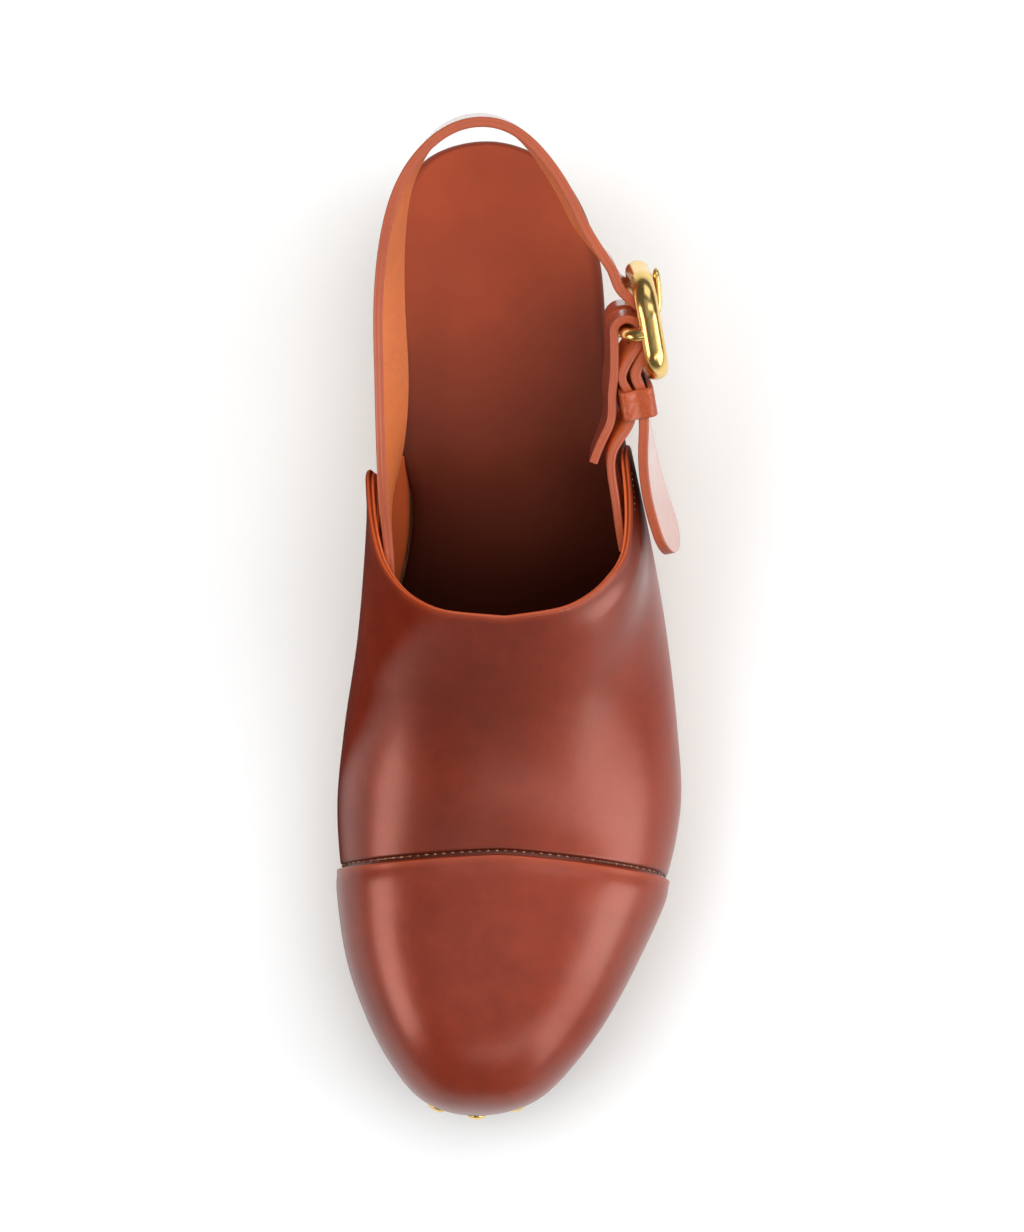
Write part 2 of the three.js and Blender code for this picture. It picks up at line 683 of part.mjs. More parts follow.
function cylinder(from, to, radius, sides = 12) {
  const along = to.clone().sub(from);
  const geometry = new THREE.CylinderGeometry(radius, radius, along.length(), sides);
  const turn = new THREE.Quaternion().setFromUnitVectors(
    new THREE.Vector3(0, 1, 0),
    along.clone().normalize(),
  );
  const middle = from.clone().lerp(to, 0.5);
  return geometry.applyQuaternion(turn).translate(middle.x, middle.y, middle.z);
}

// The buckle's own axes at the centre bar: along the strap to the toe, up the bar, and out from the foot.
const buckle = (() => {
  const [yaw, slope, lean] = [buckleYaw, buckleSlope, buckleLean].map(degrees);
  const along = new THREE.Vector3(
    Math.sin(yaw) * Math.cos(slope),
    -Math.cos(yaw) * Math.cos(slope),
    -Math.sin(slope),
  );
  const level = leftOf(along);
  const upright = new THREE.Vector3().crossVectors(along, level);
  const up = upright.clone().multiplyScalar(Math.cos(lean)).addScaledVector(level, Math.sin(lean));
  const out = level.clone().multiplyScalar(Math.cos(lean)).addScaledVector(upright, -Math.sin(lean));
  const bar = strapPlace({ at: barAt, side: barSide, up: barUp });
  const place = (a, u, o) =>
    bar.clone().addScaledVector(along, a).addScaledVector(up, u).addScaledVector(out, o);
  return { along, up, out, place };
})();

// The frame's middle line is a rectangle with round corners.
function frameRing() {
  const halfLength = frameLength / 2 - frameBand / 2;
  const halfHeight = frameHeight / 2 - frameBand / 2;
  const corner = frameCorner - frameBand / 2;
  const centres = [
    [halfLength - corner, halfHeight - corner, 0],
    [corner - halfLength, halfHeight - corner, 90],
    [corner - halfLength, corner - halfHeight, 180],
    [halfLength - corner, corner - halfHeight, 270],
  ];
  return centres.flatMap(([a, u, from]) =>
    [0, 22.5, 45, 67.5, 90].map((turn) => {
      const angle = degrees(from + turn);
      return { a: a + corner * Math.cos(angle), u: u + corner * Math.sin(angle), angle };
    }),
  );
}

function buckleFrame() {
  const sides = 10;
  const rings = frameRing().map(({ a, u, angle }) =>
    Array.from({ length: sides }, (_, k) => {
      const turn = (2 * Math.PI * k) / sides;
      const reach = (frameBand / 2) * Math.cos(turn);
      const depth = (frameDepth / 2) * Math.sin(turn);
      return buckle.place(a + reach * Math.cos(angle), u + reach * Math.sin(angle), barDrop + depth);
    }),
  );
  const skin = new Skin();
  skin.patch([...rings, rings[0]].map((ring) => [...ring, ring[0]]));
  const height = frameHeight / 2 - frameBand / 2;
  const bend = 2.2;
  const bar = rod(
    [
      buckle.place(0, height, barDrop),
      buckle.place(0, height, bend),
      buckle.place(0, height - bend * 0.35, bend * 0.35),
      buckle.place(0, height - bend, 0),
      buckle.place(0, 0, 0),
      buckle.place(0, bend - height, 0),
      buckle.place(0, bend * 0.35 - height, bend * 0.35),
      buckle.place(0, -height, bend),
      buckle.place(0, -height, barDrop),
    ],
    barRadius,
    8,
    buckle.along,
  );
  return geometryOf(solidOf(skin.geometry()).add(solidOf(bar)));
}

// The prong's pin leaves its eye outwards, goes through the strap and lies along it to the frame's back bar.
const prongReach = frameLength / 2 - 0.6;
const prongOut = barDrop + frameDepth / 2 + prongRadius + clearance;
const prongLine = [
  [0, 0, barRadius + 0.9],
  [0, 0, barDrop - 1.4],
  [-0.6, 0, barDrop + 1.4],
  [-2.4, 0, barDrop + 3.1],
  [-prongReach * 0.5, 0, prongOut - 0.5],
  [-prongReach, 0, prongOut],
].map(([a, u, o]) => buckle.place(a, u, o));

function prongSolid(grown) {
  const pin = solidOf(rod(prongLine, prongRadius + grown, 6, buckle.up));
  const half = prongEyeHeight / 2 + grown;
  const eye = cylinder(
    buckle.place(0, -half, 0),
    buckle.place(0, half, 0),
    barRadius + clearance + 1.3 + grown * 2.4,
    12,
  );
  return pin.add(solidOf(eye));
}

function buckleProng() {
  const bore = cylinder(
    buckle.place(0, -frameHeight, 0),
    buckle.place(0, frameHeight, 0),
    barRadius + clearance,
    12,
  );
  return geometryOf(prongSolid(0).subtract(solidOf(bore)));
}

// Places through the buckle, from the frame's inside to the outside of the strap folded round the bar
const loopRadius = barRadius + loopRoom + buckleStrapThickness / 2;
const strapOver = loopRadius + (buckleStrapThickness + strapThickness) / 2 + stackRoom;
const strapUnder = barDrop - frameDepth / 2 - clearance - strapThickness / 2;
const legUnder = strapUnder - (strapThickness + buckleStrapThickness) / 2 - stackRoom;
const inBuckle = (along, out) => ({ place: buckle.place(along, 0, out), up: buckle.up });

const slingSteps = 66;
const slingLine = strapLine(
  [
    ...anchorRows(slingAnchor, true, strapThickness),
    ...spaceRows(slingRows),
    ...throughRows.map(({ along, over }) =>
      inBuckle(along * frameLength, mix(strapUnder, strapOver, over)),
    ),
    ...spaceRows(tailRows),
  ],
  slingSteps,
);

// The strap narrows to a round tab, and its holes lie at an even pitch either side of the prong's.
function heelStrap() {
  const lengths = [0];
  for (let i = 1; i <= slingSteps; i += 1) {
    lengths.push(lengths[i - 1] + slingLine[i].place.distanceTo(slingLine[i - 1].place));
  }
  const total = lengths[slingSteps];
  const share = (i) => {
    const inTab = Math.max(0, lengths[i] - total + tabRound) / tabRound;
    return Math.sqrt(Math.max(0.06, 1 - inTab * inTab));
  };
  let strap = solidOf(band(slingLine, strapWidth, strapThickness, share));
  const target = buckle.place(0, 0, strapOver);
  const nearest = slingLine.reduce(
    (best, sample, i) =>
      sample.place.distanceTo(target) < slingLine[best].place.distanceTo(target) ? i : best,
    0,
  );
  const step = total / slingSteps;
  for (let k = 0; k < holeCount; k += 1) {
    if (k === holesBehind) continue;
    const spot = nearest + ((k - holesBehind) * holePitch) / step;
    const index = Math.floor(spot);
    const place = slingLine[index].place.clone().lerp(slingLine[index + 1].place, spot - index);
    const out = slingLine[index].out;
    const from = place.clone().addScaledVector(out, -strapThickness);
    const to = place.clone().addScaledVector(out, strapThickness);
    strap = strap.subtract(solidOf(cylinder(from, to, holeRadius, 8)));
  }
  return geometryOf(strap.subtract(prongSolid(clearance)));
}

// The buckle strap turns round the centre bar, with a slot there for the prong's eye.
function buckleStrap() {
  const loop = Array.from({ length: 7 }, (_, i) => {
    const angle = degrees(-80 - 200 * (i / 6));
    return inBuckle(loopRadius * Math.cos(angle), loopRadius * Math.sin(angle));
  });
  const line = strapLine(
    [
      ...innerLegRows.map(({ along, out }) => inBuckle(along * frameLength, out * barDrop)),
      ...loop,
      ...outerLegRows.map(({ along, over }) =>
        inBuckle(along * frameLength, mix(legUnder, loopRadius, over)),
      ),
      ...anchorRows(buckleAnchor, false, buckleStrapThickness),
    ],
    60,
  );
  const strap = solidOf(band(line, strapWidth - 0.6, buckleStrapThickness, () => 1));
  const reach = prongEyeHeight / 2 + clearance;
  const slot = cylinder(
    buckle.place(0, -reach, 0),
    buckle.place(0, reach, 0),
    loopRadius + buckleStrapThickness,
    16,
  );
  return geometryOf(strap.subtract(solidOf(slot)).subtract(prongSolid(clearance)));
}

// A flat leather loop round the buckle strap and the tail of the heel strap.
function strapKeeper() {
  const inside = legUnder - buckleStrapThickness / 2 - 2 * clearance;
  const outside = strapUnder + strapThickness / 2 + clearance;
  const middle = (inside + outside) / 2;
  const halfDepth = (outside - inside) / 2;
  const halfHeight = strapWidth / 2 + clearance;
  const rounded = (path, depth, height, corner) => {
    path.moveTo(-depth + corner, -height);
    path.lineTo(depth - corner, -height);
    path.absarc(depth - corner, -height + corner, corner, -Math.PI / 2, 0);
    path.absarc(depth - corner, height - corner, corner, 0, Math.PI / 2);
    path.absarc(-depth + corner, height - corner, corner, Math.PI / 2, Math.PI);
    path.absarc(-depth + corner, -height + corner, corner, Math.PI, 1.5 * Math.PI);
    return path;
  };
  const wall = keeperThickness;
  const shape = rounded(new THREE.Shape(), halfDepth + wall, halfHeight + wall, 1.8);
  shape.holes.push(rounded(new THREE.Path(), halfDepth, halfHeight, 0.5));
  const geometry = new THREE.ExtrudeGeometry(shape, {
    depth: keeperLength,
    curveSegments: 3,
    bevelEnabled: false,
  });
  geometry.translate(0, 0, -keeperLength / 2);
  const place = buckle.place(keeperAlong * frameLength, 0, middle);
  const turn = new THREE.Matrix4().makeBasis(buckle.out, buckle.up, buckle.along);
  return geometry.applyMatrix4(turn.setPosition(place));
}

// A round-headed nail, whose flat back lies against the leather.
function nailGeometry() {
  const profile = [
    [0, 0],
    [nailRadius, 0],
    [nailRadius * 0.75, nailRise * 0.7],
    [0, nailRise],
  ].map(([x, y]) => new THREE.Vector2(x, y));
  return new THREE.LatheGeometry(profile, 8);
}

// Walks the sole's edge from the inner to the outer back edge of the upper and spaces the nails evenly.
function nailPlaces() {
  const from = -upperBack.medial;
  const to = upperBack.lateral - 2 * Math.PI;
  const fine = 600;
  const walk = Array.from({ length: fine + 1 }, (_, i) => {
    const raw = mix(from, to, i / fine);
    return raw < -Math.PI ? raw + 2 * Math.PI : raw;
  });
  const reach = (turn) => clearance + underCap(turn) * (capThickness + clearance);
  const places = walk.map((turn) => edgeOffset(turn, reach(turn)));
  const sums = [0];
  for (let i = 1; i <= fine; i += 1) sums.push(sums[i - 1] + places[i].distanceTo(places[i - 1]));
  const run = sums[fine] - 2 * nailEndSpace;
  const count = Math.round(run / nailPitch);
  return Array.from({ length: count + 1 }, (_, k) => {
    const target = nailEndSpace + (run * k) / count;
    const i = sums.findIndex((sum) => sum >= target);
    const turn = walk[i];
    const normal = edgeNormal(turn);
    return { plan: places[i], normal, z: seatZ(Math.abs(turn)) - nailDrop };
  });
}

// Materials
const tanLeather = new THREE.MeshStandardMaterial({ color: 0x8a3a22, roughness: 0.35, metalness: 0 });
const strapLeather = new THREE.MeshStandardMaterial({ color: 0xa8502c, roughness: 0.5, metalness: 0 });
const sockLeather = new THREE.MeshStandardMaterial({ color: 0x7a3620, roughness: 0.6, metalness: 0 });
const paleWood = new THREE.MeshStandardMaterial({ color: 0xc39a6b, roughness: 0.6, metalness: 0 });
const rubber = new THREE.MeshStandardMaterial({ color: 0x4a3226, roughness: 0.85, metalness: 0 });
const brass = new THREE.MeshStandardMaterial({ color: 0xd8a848, roughness: 0.22, metalness: 1 });

const clog = new THREE.Group();

function addPiece(name, geometry, material) {
  const mesh = new THREE.Mesh(geometry, material);
  mesh.name = name;
  clog.add(mesh);
  return mesh;
}

addPiece("wedge_sole", wedgeSole(), paleWood);
addPiece("outsole", outsole(), rubber);
addPiece("insole", insole(), sockLeather);
addPiece("upper", shell(upperStart, -upperWall, 0, 26), tanLeather);
addPiece("toe_cap", shell(capStart, clearance, clearance + capThickness, 12), tanLeather);
addPiece("heel_strap", heelStrap(), strapLeather);
addPiece("buckle_strap", buckleStrap(), strapLeather);
addPiece("strap_keeper", strapKeeper(), strapLeather);
addPiece("buckle_frame", buckleFrame(), brass);
addPiece("buckle_prong", buckleProng(), brass);

const nail = nailGeometry();
nailPlaces().forEach(({ plan, normal, z }, k) => {
  const mesh = addPiece(`nail_${String(k + 1).padStart(2, "0")}`, nail, brass);
  mesh.position.set(plan.x, plan.y, z);
  mesh.quaternion.setFromUnitVectors(
    new THREE.Vector3(0, 1, 0),
    new THREE.Vector3(normal.x, normal.y, 0),
  );
});

export default clog;
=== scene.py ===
import math

import bmesh
import bpy
import numpy as np
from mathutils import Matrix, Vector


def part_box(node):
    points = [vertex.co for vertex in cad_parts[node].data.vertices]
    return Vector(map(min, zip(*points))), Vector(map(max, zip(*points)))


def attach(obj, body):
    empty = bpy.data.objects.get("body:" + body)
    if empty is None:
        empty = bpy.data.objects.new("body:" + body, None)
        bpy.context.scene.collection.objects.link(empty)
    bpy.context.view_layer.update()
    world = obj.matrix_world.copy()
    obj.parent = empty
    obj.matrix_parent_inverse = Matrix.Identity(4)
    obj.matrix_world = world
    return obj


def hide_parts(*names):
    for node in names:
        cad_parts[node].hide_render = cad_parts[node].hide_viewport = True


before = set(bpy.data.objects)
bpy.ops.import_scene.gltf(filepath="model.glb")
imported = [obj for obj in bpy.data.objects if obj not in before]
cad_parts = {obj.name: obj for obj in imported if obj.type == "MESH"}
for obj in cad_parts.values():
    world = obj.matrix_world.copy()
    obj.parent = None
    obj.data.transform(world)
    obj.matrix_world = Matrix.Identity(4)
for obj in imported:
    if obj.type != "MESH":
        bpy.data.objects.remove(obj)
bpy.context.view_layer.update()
mm = 0.001  # every size below is in millimetres
print("stage: frame loaded with", len(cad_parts), "nodes")


def boxMm(node):
    low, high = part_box(node)
    return np.array(low) / mm, np.array(high) / mm


woodLow, woodHigh = boxMm("wedge_sole")
upperLow, upperHigh = boxMm("upper")

# The last: foot shape that the wood, insole, vamp and toe cap share
last = {
    "back": woodHigh[1],  # back of the heel
    "length": woodHigh[1] - upperLow[1],
    "heelSeat": woodHigh[2],  # top of the wood under the heel
    "ballWidth": 88.0,
    "platform": 30.0,  # top of the wood under the ball
    "toeSpring": 13.0,
    "archRise": 3.5,
    "heelBevel": 2.5,
    "instep": 59.0,  # top of the vamp over the sole's edge, at the throat
    "margin": 9.0,  # strip of the vamp nailed to the side of the wood
}

# Edge of the sole and how far the vamp fills out past it, as shares of the ball's width
outlineTable = {
    "at": [0, 0.02, 0.06, 0.12, 0.2, 0.3, 0.4, 0.5, 0.6, 0.68, 0.76, 0.84, 0.9, 0.95, 0.985, 1],
    "medial": [0.018, 0.2, 0.277, 0.299, 0.286, 0.273, 0.266, 0.326, 0.393, 0.42, 0.406, 0.376, 0.321, 0.252,
               0.174, 0.036],
    "lateral": [-0.018, 0.156, 0.252, 0.314, 0.339, 0.393, 0.447, 0.488, 0.523, 0.532, 0.492, 0.403, 0.314,
                0.217, 0.121, -0.036],
    "swellMedial": [0.02, 0.02, 0.03, 0.06, 0.12, 0.165, 0.17, 0.115, 0.079, 0.07, 0.068, 0.063, 0.055, 0.04,
                    0.02, 0],
    "swellLateral": [0.02, 0.02, 0.03, 0.04, 0.01, 0.008, 0.04, 0.075, 0.086, 0.094, 0.085, 0.066, 0.055,
                     0.04, 0.02, 0],
}

# Side view: seat, arch, spring and bevel as shares of their own rises, rise as a share of the instep's.
# Ridge is how far the top lies to the inner side, and square how boxy the section is.
sideTable = {
    "at": [0, 0.03, 0.06, 0.12, 0.22, 0.3, 0.4, 0.49, 0.58, 0.62, 0.7, 0.78, 0.85, 0.9, 0.95, 0.985, 1],
    "seat": [1, 1, 1, 0.99, 0.93, 0.8, 0.57, 0.34, 0.14, 0.08, 0, 0, 0.02, 0.05, 0.08, 0.11, 0.12],
    "arch": [0, 0, 0, 0, 0, 0.15, 0.85, 0.85, 0.15, 0, 0, 0, 0, 0, 0, 0, 0],
    "spring": [0, 0, 0, 0, 0, 0, 0, 0, 0, 0, 0, 0, 0.12, 0.32, 0.62, 0.9, 1],
    "bevel": [1, 0.2, 0, 0, 0, 0, 0, 0, 0, 0, 0, 0, 0, 0, 0, 0, 0],
    "rise": [1.8, 1.76, 1.72, 1.66, 1.54, 1.42, 1.22, 1, 0.815, 0.75, 0.655, 0.595, 0.55, 0.5, 0.405,
             0.262, 0],
    "ridge": [0, 0, 0, 0.01, 0.03, 0.045, 0.06, 0.06, 0.05, 0.045, 0.035, 0.025, 0.015, 0.01, 0.005, 0, 0],
    "square": [0.1, 0.1, 0.1, 0.1, 0.12, 0.14, 0.16, 0.2, 0.22, 0.24, 0.27, 0.3, 0.32, 0.33, 0.33, 0.33,
               0.33],
}

# Where the vamp and the toe cap start, against degrees up the section from the sole's edge
toplineTable = {
    "up": [0, 4, 9, 20, 26, 32, 42, 55, 70, 90],
    "medial": [0.315, 0.325, 0.341, 0.34, 0.352, 0.383, 0.425, 0.458, 0.48, 0.49],
    "lateral": [0.328, 0.325, 0.321, 0.315, 0.328, 0.362, 0.415, 0.45, 0.476, 0.49],
}
capTable = {"up": [0, 45, 90], "medial": [0.752, 0.742, 0.73], "lateral": [0.768, 0.75, 0.73]}


def ramp(low, high, value):
    share = np.clip((value - low) / (high - low), 0, 1)
    return share * share * (3 - 2 * share)


def curveOf(places, values):  # smooth through every point, its slopes taken from both neighbours
    places, values = np.array(places, float), np.array(values, float)
    gaps = np.diff(places)
    rates = np.diff(values) / gaps
    inner = (gaps[1:] * rates[:-1] + gaps[:-1] * rates[1:]) / (gaps[:-1] + gaps[1:])
    slopes = np.concatenate([rates[:1], inner, rates[-1:]])

    def at(place):
        place = np.clip(place, places[0], places[-1])
        i = np.clip(np.searchsorted(places, place, side="right") - 1, 0, len(gaps) - 1)
        share = (place - places[i]) / gaps[i]
        rest = 1 - share
        straight = values[i] * (1 + 2 * share) * rest**2 + values[i + 1] * (3 - 2 * share) * share**2
        return straight + gaps[i] * share * rest * (slopes[i] * rest - slopes[i + 1] * share)

    return at


# Sections are spaced by a turn from 0 at the heel to pi at the toe, so that both ends are round
def turnOf(at):
    return np.arccos(1 - 2 * np.clip(at, 0, 1))


def atOf(turn):
    return (1 - np.cos(turn)) / 2


def lengthY(at):
    return last["back"] - last["length"] * at


def atY(y):
    return (last["back"] - y) / last["length"]


def curvesOf(table):
    turns = turnOf(np.array(table["at"], float))
    return {name: curveOf(turns, table[name]) for name in table if name != "at"}


outline = curvesOf(outlineTable)
side = curvesOf(sideTable)


def seatZ(turn):
    return last["platform"] + (last["heelSeat"] - last["platform"]) * side["seat"](np.abs(turn))


def treadZ(turn):
    turn = np.abs(turn)
    arch = last["archRise"] * np.maximum(0, side["arch"](turn))
    spring = last["toeSpring"] * np.maximum(0, side["spring"](turn))
    return arch + spring + last["heelBevel"] * np.maximum(0, side["bevel"](turn))


# A positive turn is the outer side of the foot and a negative one the inner side
def edgePoint(turn):
    turn = (np.asarray(turn, float) + math.pi) % (2 * math.pi) - math.pi
    size = np.abs(turn)
    x = np.where(turn >= 0, outline["lateral"](size), -outline["medial"](size))
    return np.stack([x * last["ballWidth"], lengthY(atOf(size))], -1)


def edgeNormal(turn):
    along = edgePoint(turn + 0.02) - edgePoint(turn - 0.02)
    normal = np.stack([-along[..., 1], along[..., 0]], -1)
    return normal / np.linalg.norm(normal, axis=-1, keepdims=True)


# Row 0 is the sole's outer edge, 1 its inner edge, and the instep lies between them
def footPoint(turn, row):
    angle = np.clip(row, 0, 1) * math.pi
    sine, cosine = np.abs(np.sin(angle)), np.cos(angle)
    outer = cosine >= 0
    lateral, medial = outline["lateral"](turn), -outline["medial"](turn)
    swell = np.where(outer, outline["swellLateral"](turn), outline["swellMedial"](turn))
    width = (lateral - medial) / 2 + swell * (1 - (1 - sine) ** 3)
    across = width * np.abs(cosine) ** (1 - side["square"](turn))
    x = (lateral + medial) / 2 + np.where(outer, across, -across) - side["ridge"](turn) * sine * sine
    below = np.maximum(np.maximum(-row, row - 1), 0) * last["margin"]
    rise = side["rise"](turn) * last["instep"] * sine ** (1 - side["square"](turn) / 3)
    return np.stack([x * last["ballWidth"], lengthY(atOf(turn)), seatZ(turn) + rise - below], -1)


def unit(vectors):
    return vectors / np.maximum(np.linalg.norm(vectors, axis=-1, keepdims=True), 1e-9)


def footNormal(turn, row):
    step = 0.004
    turn, row = np.broadcast_arrays(np.asarray(turn, float), np.asarray(row, float))
    flat = edgeNormal(np.where(row < 0, turn, -turn))
    flat = np.concatenate([flat, np.zeros(flat.shape[:-1] + (1,))], -1)
    inTurn = np.minimum(turn, math.pi - 3 * step)
    inRow = np.clip(row, step, 1 - step)
    alongLength = footPoint(inTurn + step, row) - footPoint(inTurn - step, row)
    alongRow = footPoint(inTurn, inRow + step) - footPoint(inTurn, inRow - step)
    dome = unit(np.cross(alongRow, alongLength))
    toTip = ramp(math.pi - 0.16, math.pi, turn)[..., None]
    dome = unit(dome * (1 - toTip) + np.array([0, -1, 0]) * toTip)
    return np.where(((row < 0) | (row > 1))[..., None], flat, dome)


def footOffset(turn, row, offset):
    turn, row, offset = np.broadcast_arrays(turn, row, offset)
    return footPoint(turn, row) + footNormal(turn, row) * offset[..., None]


def startOf(table):
    medial, lateral = curveOf(table["up"], table["medial"]), curveOf(table["up"], table["lateral"])

    def at(row):
        up = np.maximum(0, 90 - np.abs(row - 0.5) * 180)
        return turnOf(np.where(row < 0.5, lateral(up), medial(up)))

    return at


upperStart = startOf(toplineTable)
capStart = startOf(capTable)
print("stage: last set out; upper's CAD box", np.round(upperLow, 1), np.round(upperHigh, 1))


# Meshes from grids of points

def gridFaces(rows, columns, start=0, wrapRows=False, wrapColumns=False, turned=False):
    i = np.arange(rows if wrapRows else rows - 1)[:, None]
    j = np.arange(columns if wrapColumns else columns - 1)[None, :]
    nextI, nextJ = (i + 1) % rows, (j + 1) % columns
    corners = [i * columns + j, nextI * columns + j, nextI * columns + nextJ, i * columns + nextJ]
    faces = np.stack([np.broadcast_to(c, (i.size, j.size)) for c in corners], -1).reshape(-1, 4) + start
    return faces[:, ::-1] if turned else faces


def endStrips(count, rows):  # closes both ends of a tube, from one half of the ring to the other
    low = np.arange(count // 2 - 1)
    strip = np.stack([low, low + 1, count - 2 - low, count - 1 - low], -1)
    return [strip, strip[:, ::-1] + (rows - 1) * count]


def outward(points, faces):
    a, b, c, d = (points[faces[:, k]] for k in range(4))
    volume = (a * np.cross(b, c)).sum() + (a * np.cross(c, d)).sum()
    return faces[:, ::-1] if volume < 0 else faces


def meshOf(name, points, faces, marks=None, sharpAngle=180):
    points = np.asarray(points, float).reshape(-1, 3)
    mesh = bpy.data.meshes.new(name)
    mesh.from_pydata((points * mm).tolist(), [], outward(points, faces).tolist())
    for mark, values in (marks or {}).items():
        data = mesh.attributes.new(mark, "FLOAT", "POINT").data
        data.foreach_set("value", np.ravel(values).astype(np.float32))
    work = bmesh.new()
    work.from_mesh(mesh)
    bmesh.ops.remove_doubles(work, verts=work.verts, dist=0.002 * mm)
    work.to_mesh(mesh)
    work.free()
    mesh.validate()
    mesh.shade_smooth()
    if sharpAngle < 180:
        mesh.set_sharp_from_angle(angle=math.radians(sharpAngle))
    return mesh


def addPiece(name, mesh, finish, slot, *nodes):
    piece = bpy.data.objects.new(name, mesh)
    bpy.context.scene.collection.objects.link(piece)
    mesh.materials.clear()
    mesh.materials.append(finish)
    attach(piece, "root")
    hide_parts(*nodes)
    print("stage:", name, "has", len(mesh.polygons), "faces")


# Node trees, for materials and for geometry

class Wire:
    def __init__(self, tree, socket):
        self.tree = tree
        self.socket = socket

    def maths(self, operation, *values):
        return self.tree.add("ShaderNodeMath", {"operation": operation}, dict(enumerate(values)))

    def __add__(self, other):
        return self.maths("ADD", self, other)

    def __sub__(self, other):
        return self.maths("SUBTRACT", self, other)

    def __rsub__(self, other):
        return self.maths("SUBTRACT", other, self)

    def __mul__(self, other):
        return self.maths("MULTIPLY", self, other)

    __radd__ = __add__
    __rmul__ = __mul__

    def size(self):
        return self.maths("ABSOLUTE", self)

    def ramp(self, low, high, start=0.0, end=1.0):
        values = {"Value": self, "From Min": low, "From Max": high, "To Min": start, "To Max": end}
        return self.tree.add("ShaderNodeMapRange", {"interpolation_type": "SMOOTHSTEP"}, values)


class Tree:
    def add(self, kind, settings=None, values=None, out=0):
        node = self.tree.nodes.new(kind)
        for name, value in (settings or {}).items():
            setattr(node, name, value)
        for name, value in (values or {}).items():
            self.feed(node.inputs[name], value)
        return Wire(self, node.outputs[out])

    def feed(self, socket, value):
        if isinstance(value, Wire):
            self.tree.links.new(value.socket, socket)
        elif socket.type == "RGBA" and len(value) == 3:
            socket.default_value = (*value, 1)
        else:
            socket.default_value = value


class Finish(Tree):
    def __init__(self, name, **fixed):
        self.material = bpy.data.materials.new(name)
        self.material.use_nodes = True
        self.tree = self.material.node_tree
        self.tree.nodes.clear()
        self.shader = self.tree.nodes.new("ShaderNodeBsdfPrincipled")
        self.output = self.tree.nodes.new("ShaderNodeOutputMaterial")
        self.tree.links.new(self.shader.outputs[0], self.output.inputs[0])
        self.set({label.replace("_", " "): value for label, value in fixed.items()})

    def set(self, values):
        for name, value in values.items():
            self.feed(self.shader.inputs[name], value)

    def dulled(self, factor, colour, look):  # over to a second shader, without gloss, where the factor is 1
        values = {"Base Color": colour, "Roughness": look["dullRoughness"]}
        values["Specular IOR Level"] = look["dullGloss"]
        plain = self.add("ShaderNodeBsdfPrincipled", values=values)
        shaders = {0: factor, 1: Wire(self, self.shader.outputs[0]), 2: plain}
        self.tree.links.new(self.add("ShaderNodeMixShader", values=shaders).socket, self.output.inputs[0])

    def place(self, scale=(1, 1, 1)):
        spot = self.add("ShaderNodeTexCoord", out="Object")
        return self.add("ShaderNodeVectorMath", {"operation": "MULTIPLY"}, {0: spot, 1: scale})

    def mark(self, name):
        return self.add("ShaderNodeAttribute", {"attribute_name": name}, out="Fac")

    def noise(self, scale, detail, roughness=0.5, place=None):
        values = {"Vector": place or self.place(), "Scale": scale, "Detail": detail, "Roughness": roughness}
        return self.add("ShaderNodeTexNoise", values=values, out="Fac")

    def cells(self, scale):
        values = {"Vector": self.place(), "Scale": scale}
        return self.add("ShaderNodeTexVoronoi", values=values, out="Distance")

    def mix(self, factor, first, second):
        return self.add("ShaderNodeMix", {"data_type": "RGBA"}, {0: factor, 6: first, 7: second}, out=2)

    def bump(self, height, depth, strength=1.0, under=None):
        values = {"Height": height, "Distance": depth * mm, "Strength": strength}
        if under:
            values["Normal"] = under
        return self.add("ShaderNodeBump", values=values)


def tone(red, green, blue):  # an eight-bit screen colour, as the shaders take it
    shares = np.array([red, green, blue]) / 255
    return tuple(np.where(shares <= 0.04045, shares / 12.92, ((shares + 0.055) / 1.055) ** 2.4).tolist())


# Finishes

calfLook = {
    "deep": tone(106, 31, 14),
    "warm": tone(140, 47, 22),
    # painted shade, mixed in where the shade mark is set
    "paintedShade": tone(52, 13, 6),
    # painted shade in the channel behind the toe cap's edge
    "seam": tone(34, 10, 6),
    "lining": tone(206, 96, 52),
    # painted highlight along the folded top line and the toe cap's edge
    "fold": tone(196, 88, 48),
    "sheen": (1.0, 0.64, 0.54),
    "roughness": 0.34,
    "gloss": 0.16,
    "dullRoughness": 0.85,
    "dullGloss": 0.05,
    "poreSize": 1500,
    "poreDepth": 0.035,
    "creaseSize": 260,
    "creaseDepth": 0.1,
}


def burnishedCalf(name, look, hasSeam):
    skin = Finish(name, Coat_Roughness=0.2, Specular_IOR_Level=0.7, Specular_Tint=look["sheen"])
    clouds = skin.noise(9, 3, 0.5)
    fine = skin.noise(160, 4, 0.6)
    body = skin.mix((clouds * 0.75 + fine * 0.25).ramp(0.32, 0.68), look["deep"], look["warm"])
    shade, dull, lining, fold = (skin.mark(name) for name in ("shade", "dull", "lining", "fold"))
    # painted shade: darker where the shade mark is set
    body = skin.mix(shade, body, look["paintedShade"])
    # painted highlight along the folded edges
    body = skin.mix(fold * 0.8, body, look["fold"])
    if hasSeam:
        # painted shade in the channel behind the toe cap's edge
        body = skin.mix(skin.mark("seam"), body, look["seam"])
    body = skin.mix(lining, body, look["lining"])
    height = skin.cells(look["poreSize"]) * 0.5 + skin.noise(2600, 2, 0.6) * 0.5
    creases = skin.bump(skin.noise(look["creaseSize"], 2), look["creaseDepth"], 0.3)
    skin.set({
        "Base Color": body,
        "Roughness": look["roughness"] + (clouds - 0.5) * 0.12 + lining * 0.25 + shade * 0.12,
        "Coat Weight": (1 - lining) * (1 - dull) * look["gloss"],
        "Normal": skin.bump(height, look["poreDepth"], 0.6, creases),
    })
    skin.dulled(dull, body, look)
    return skin.material


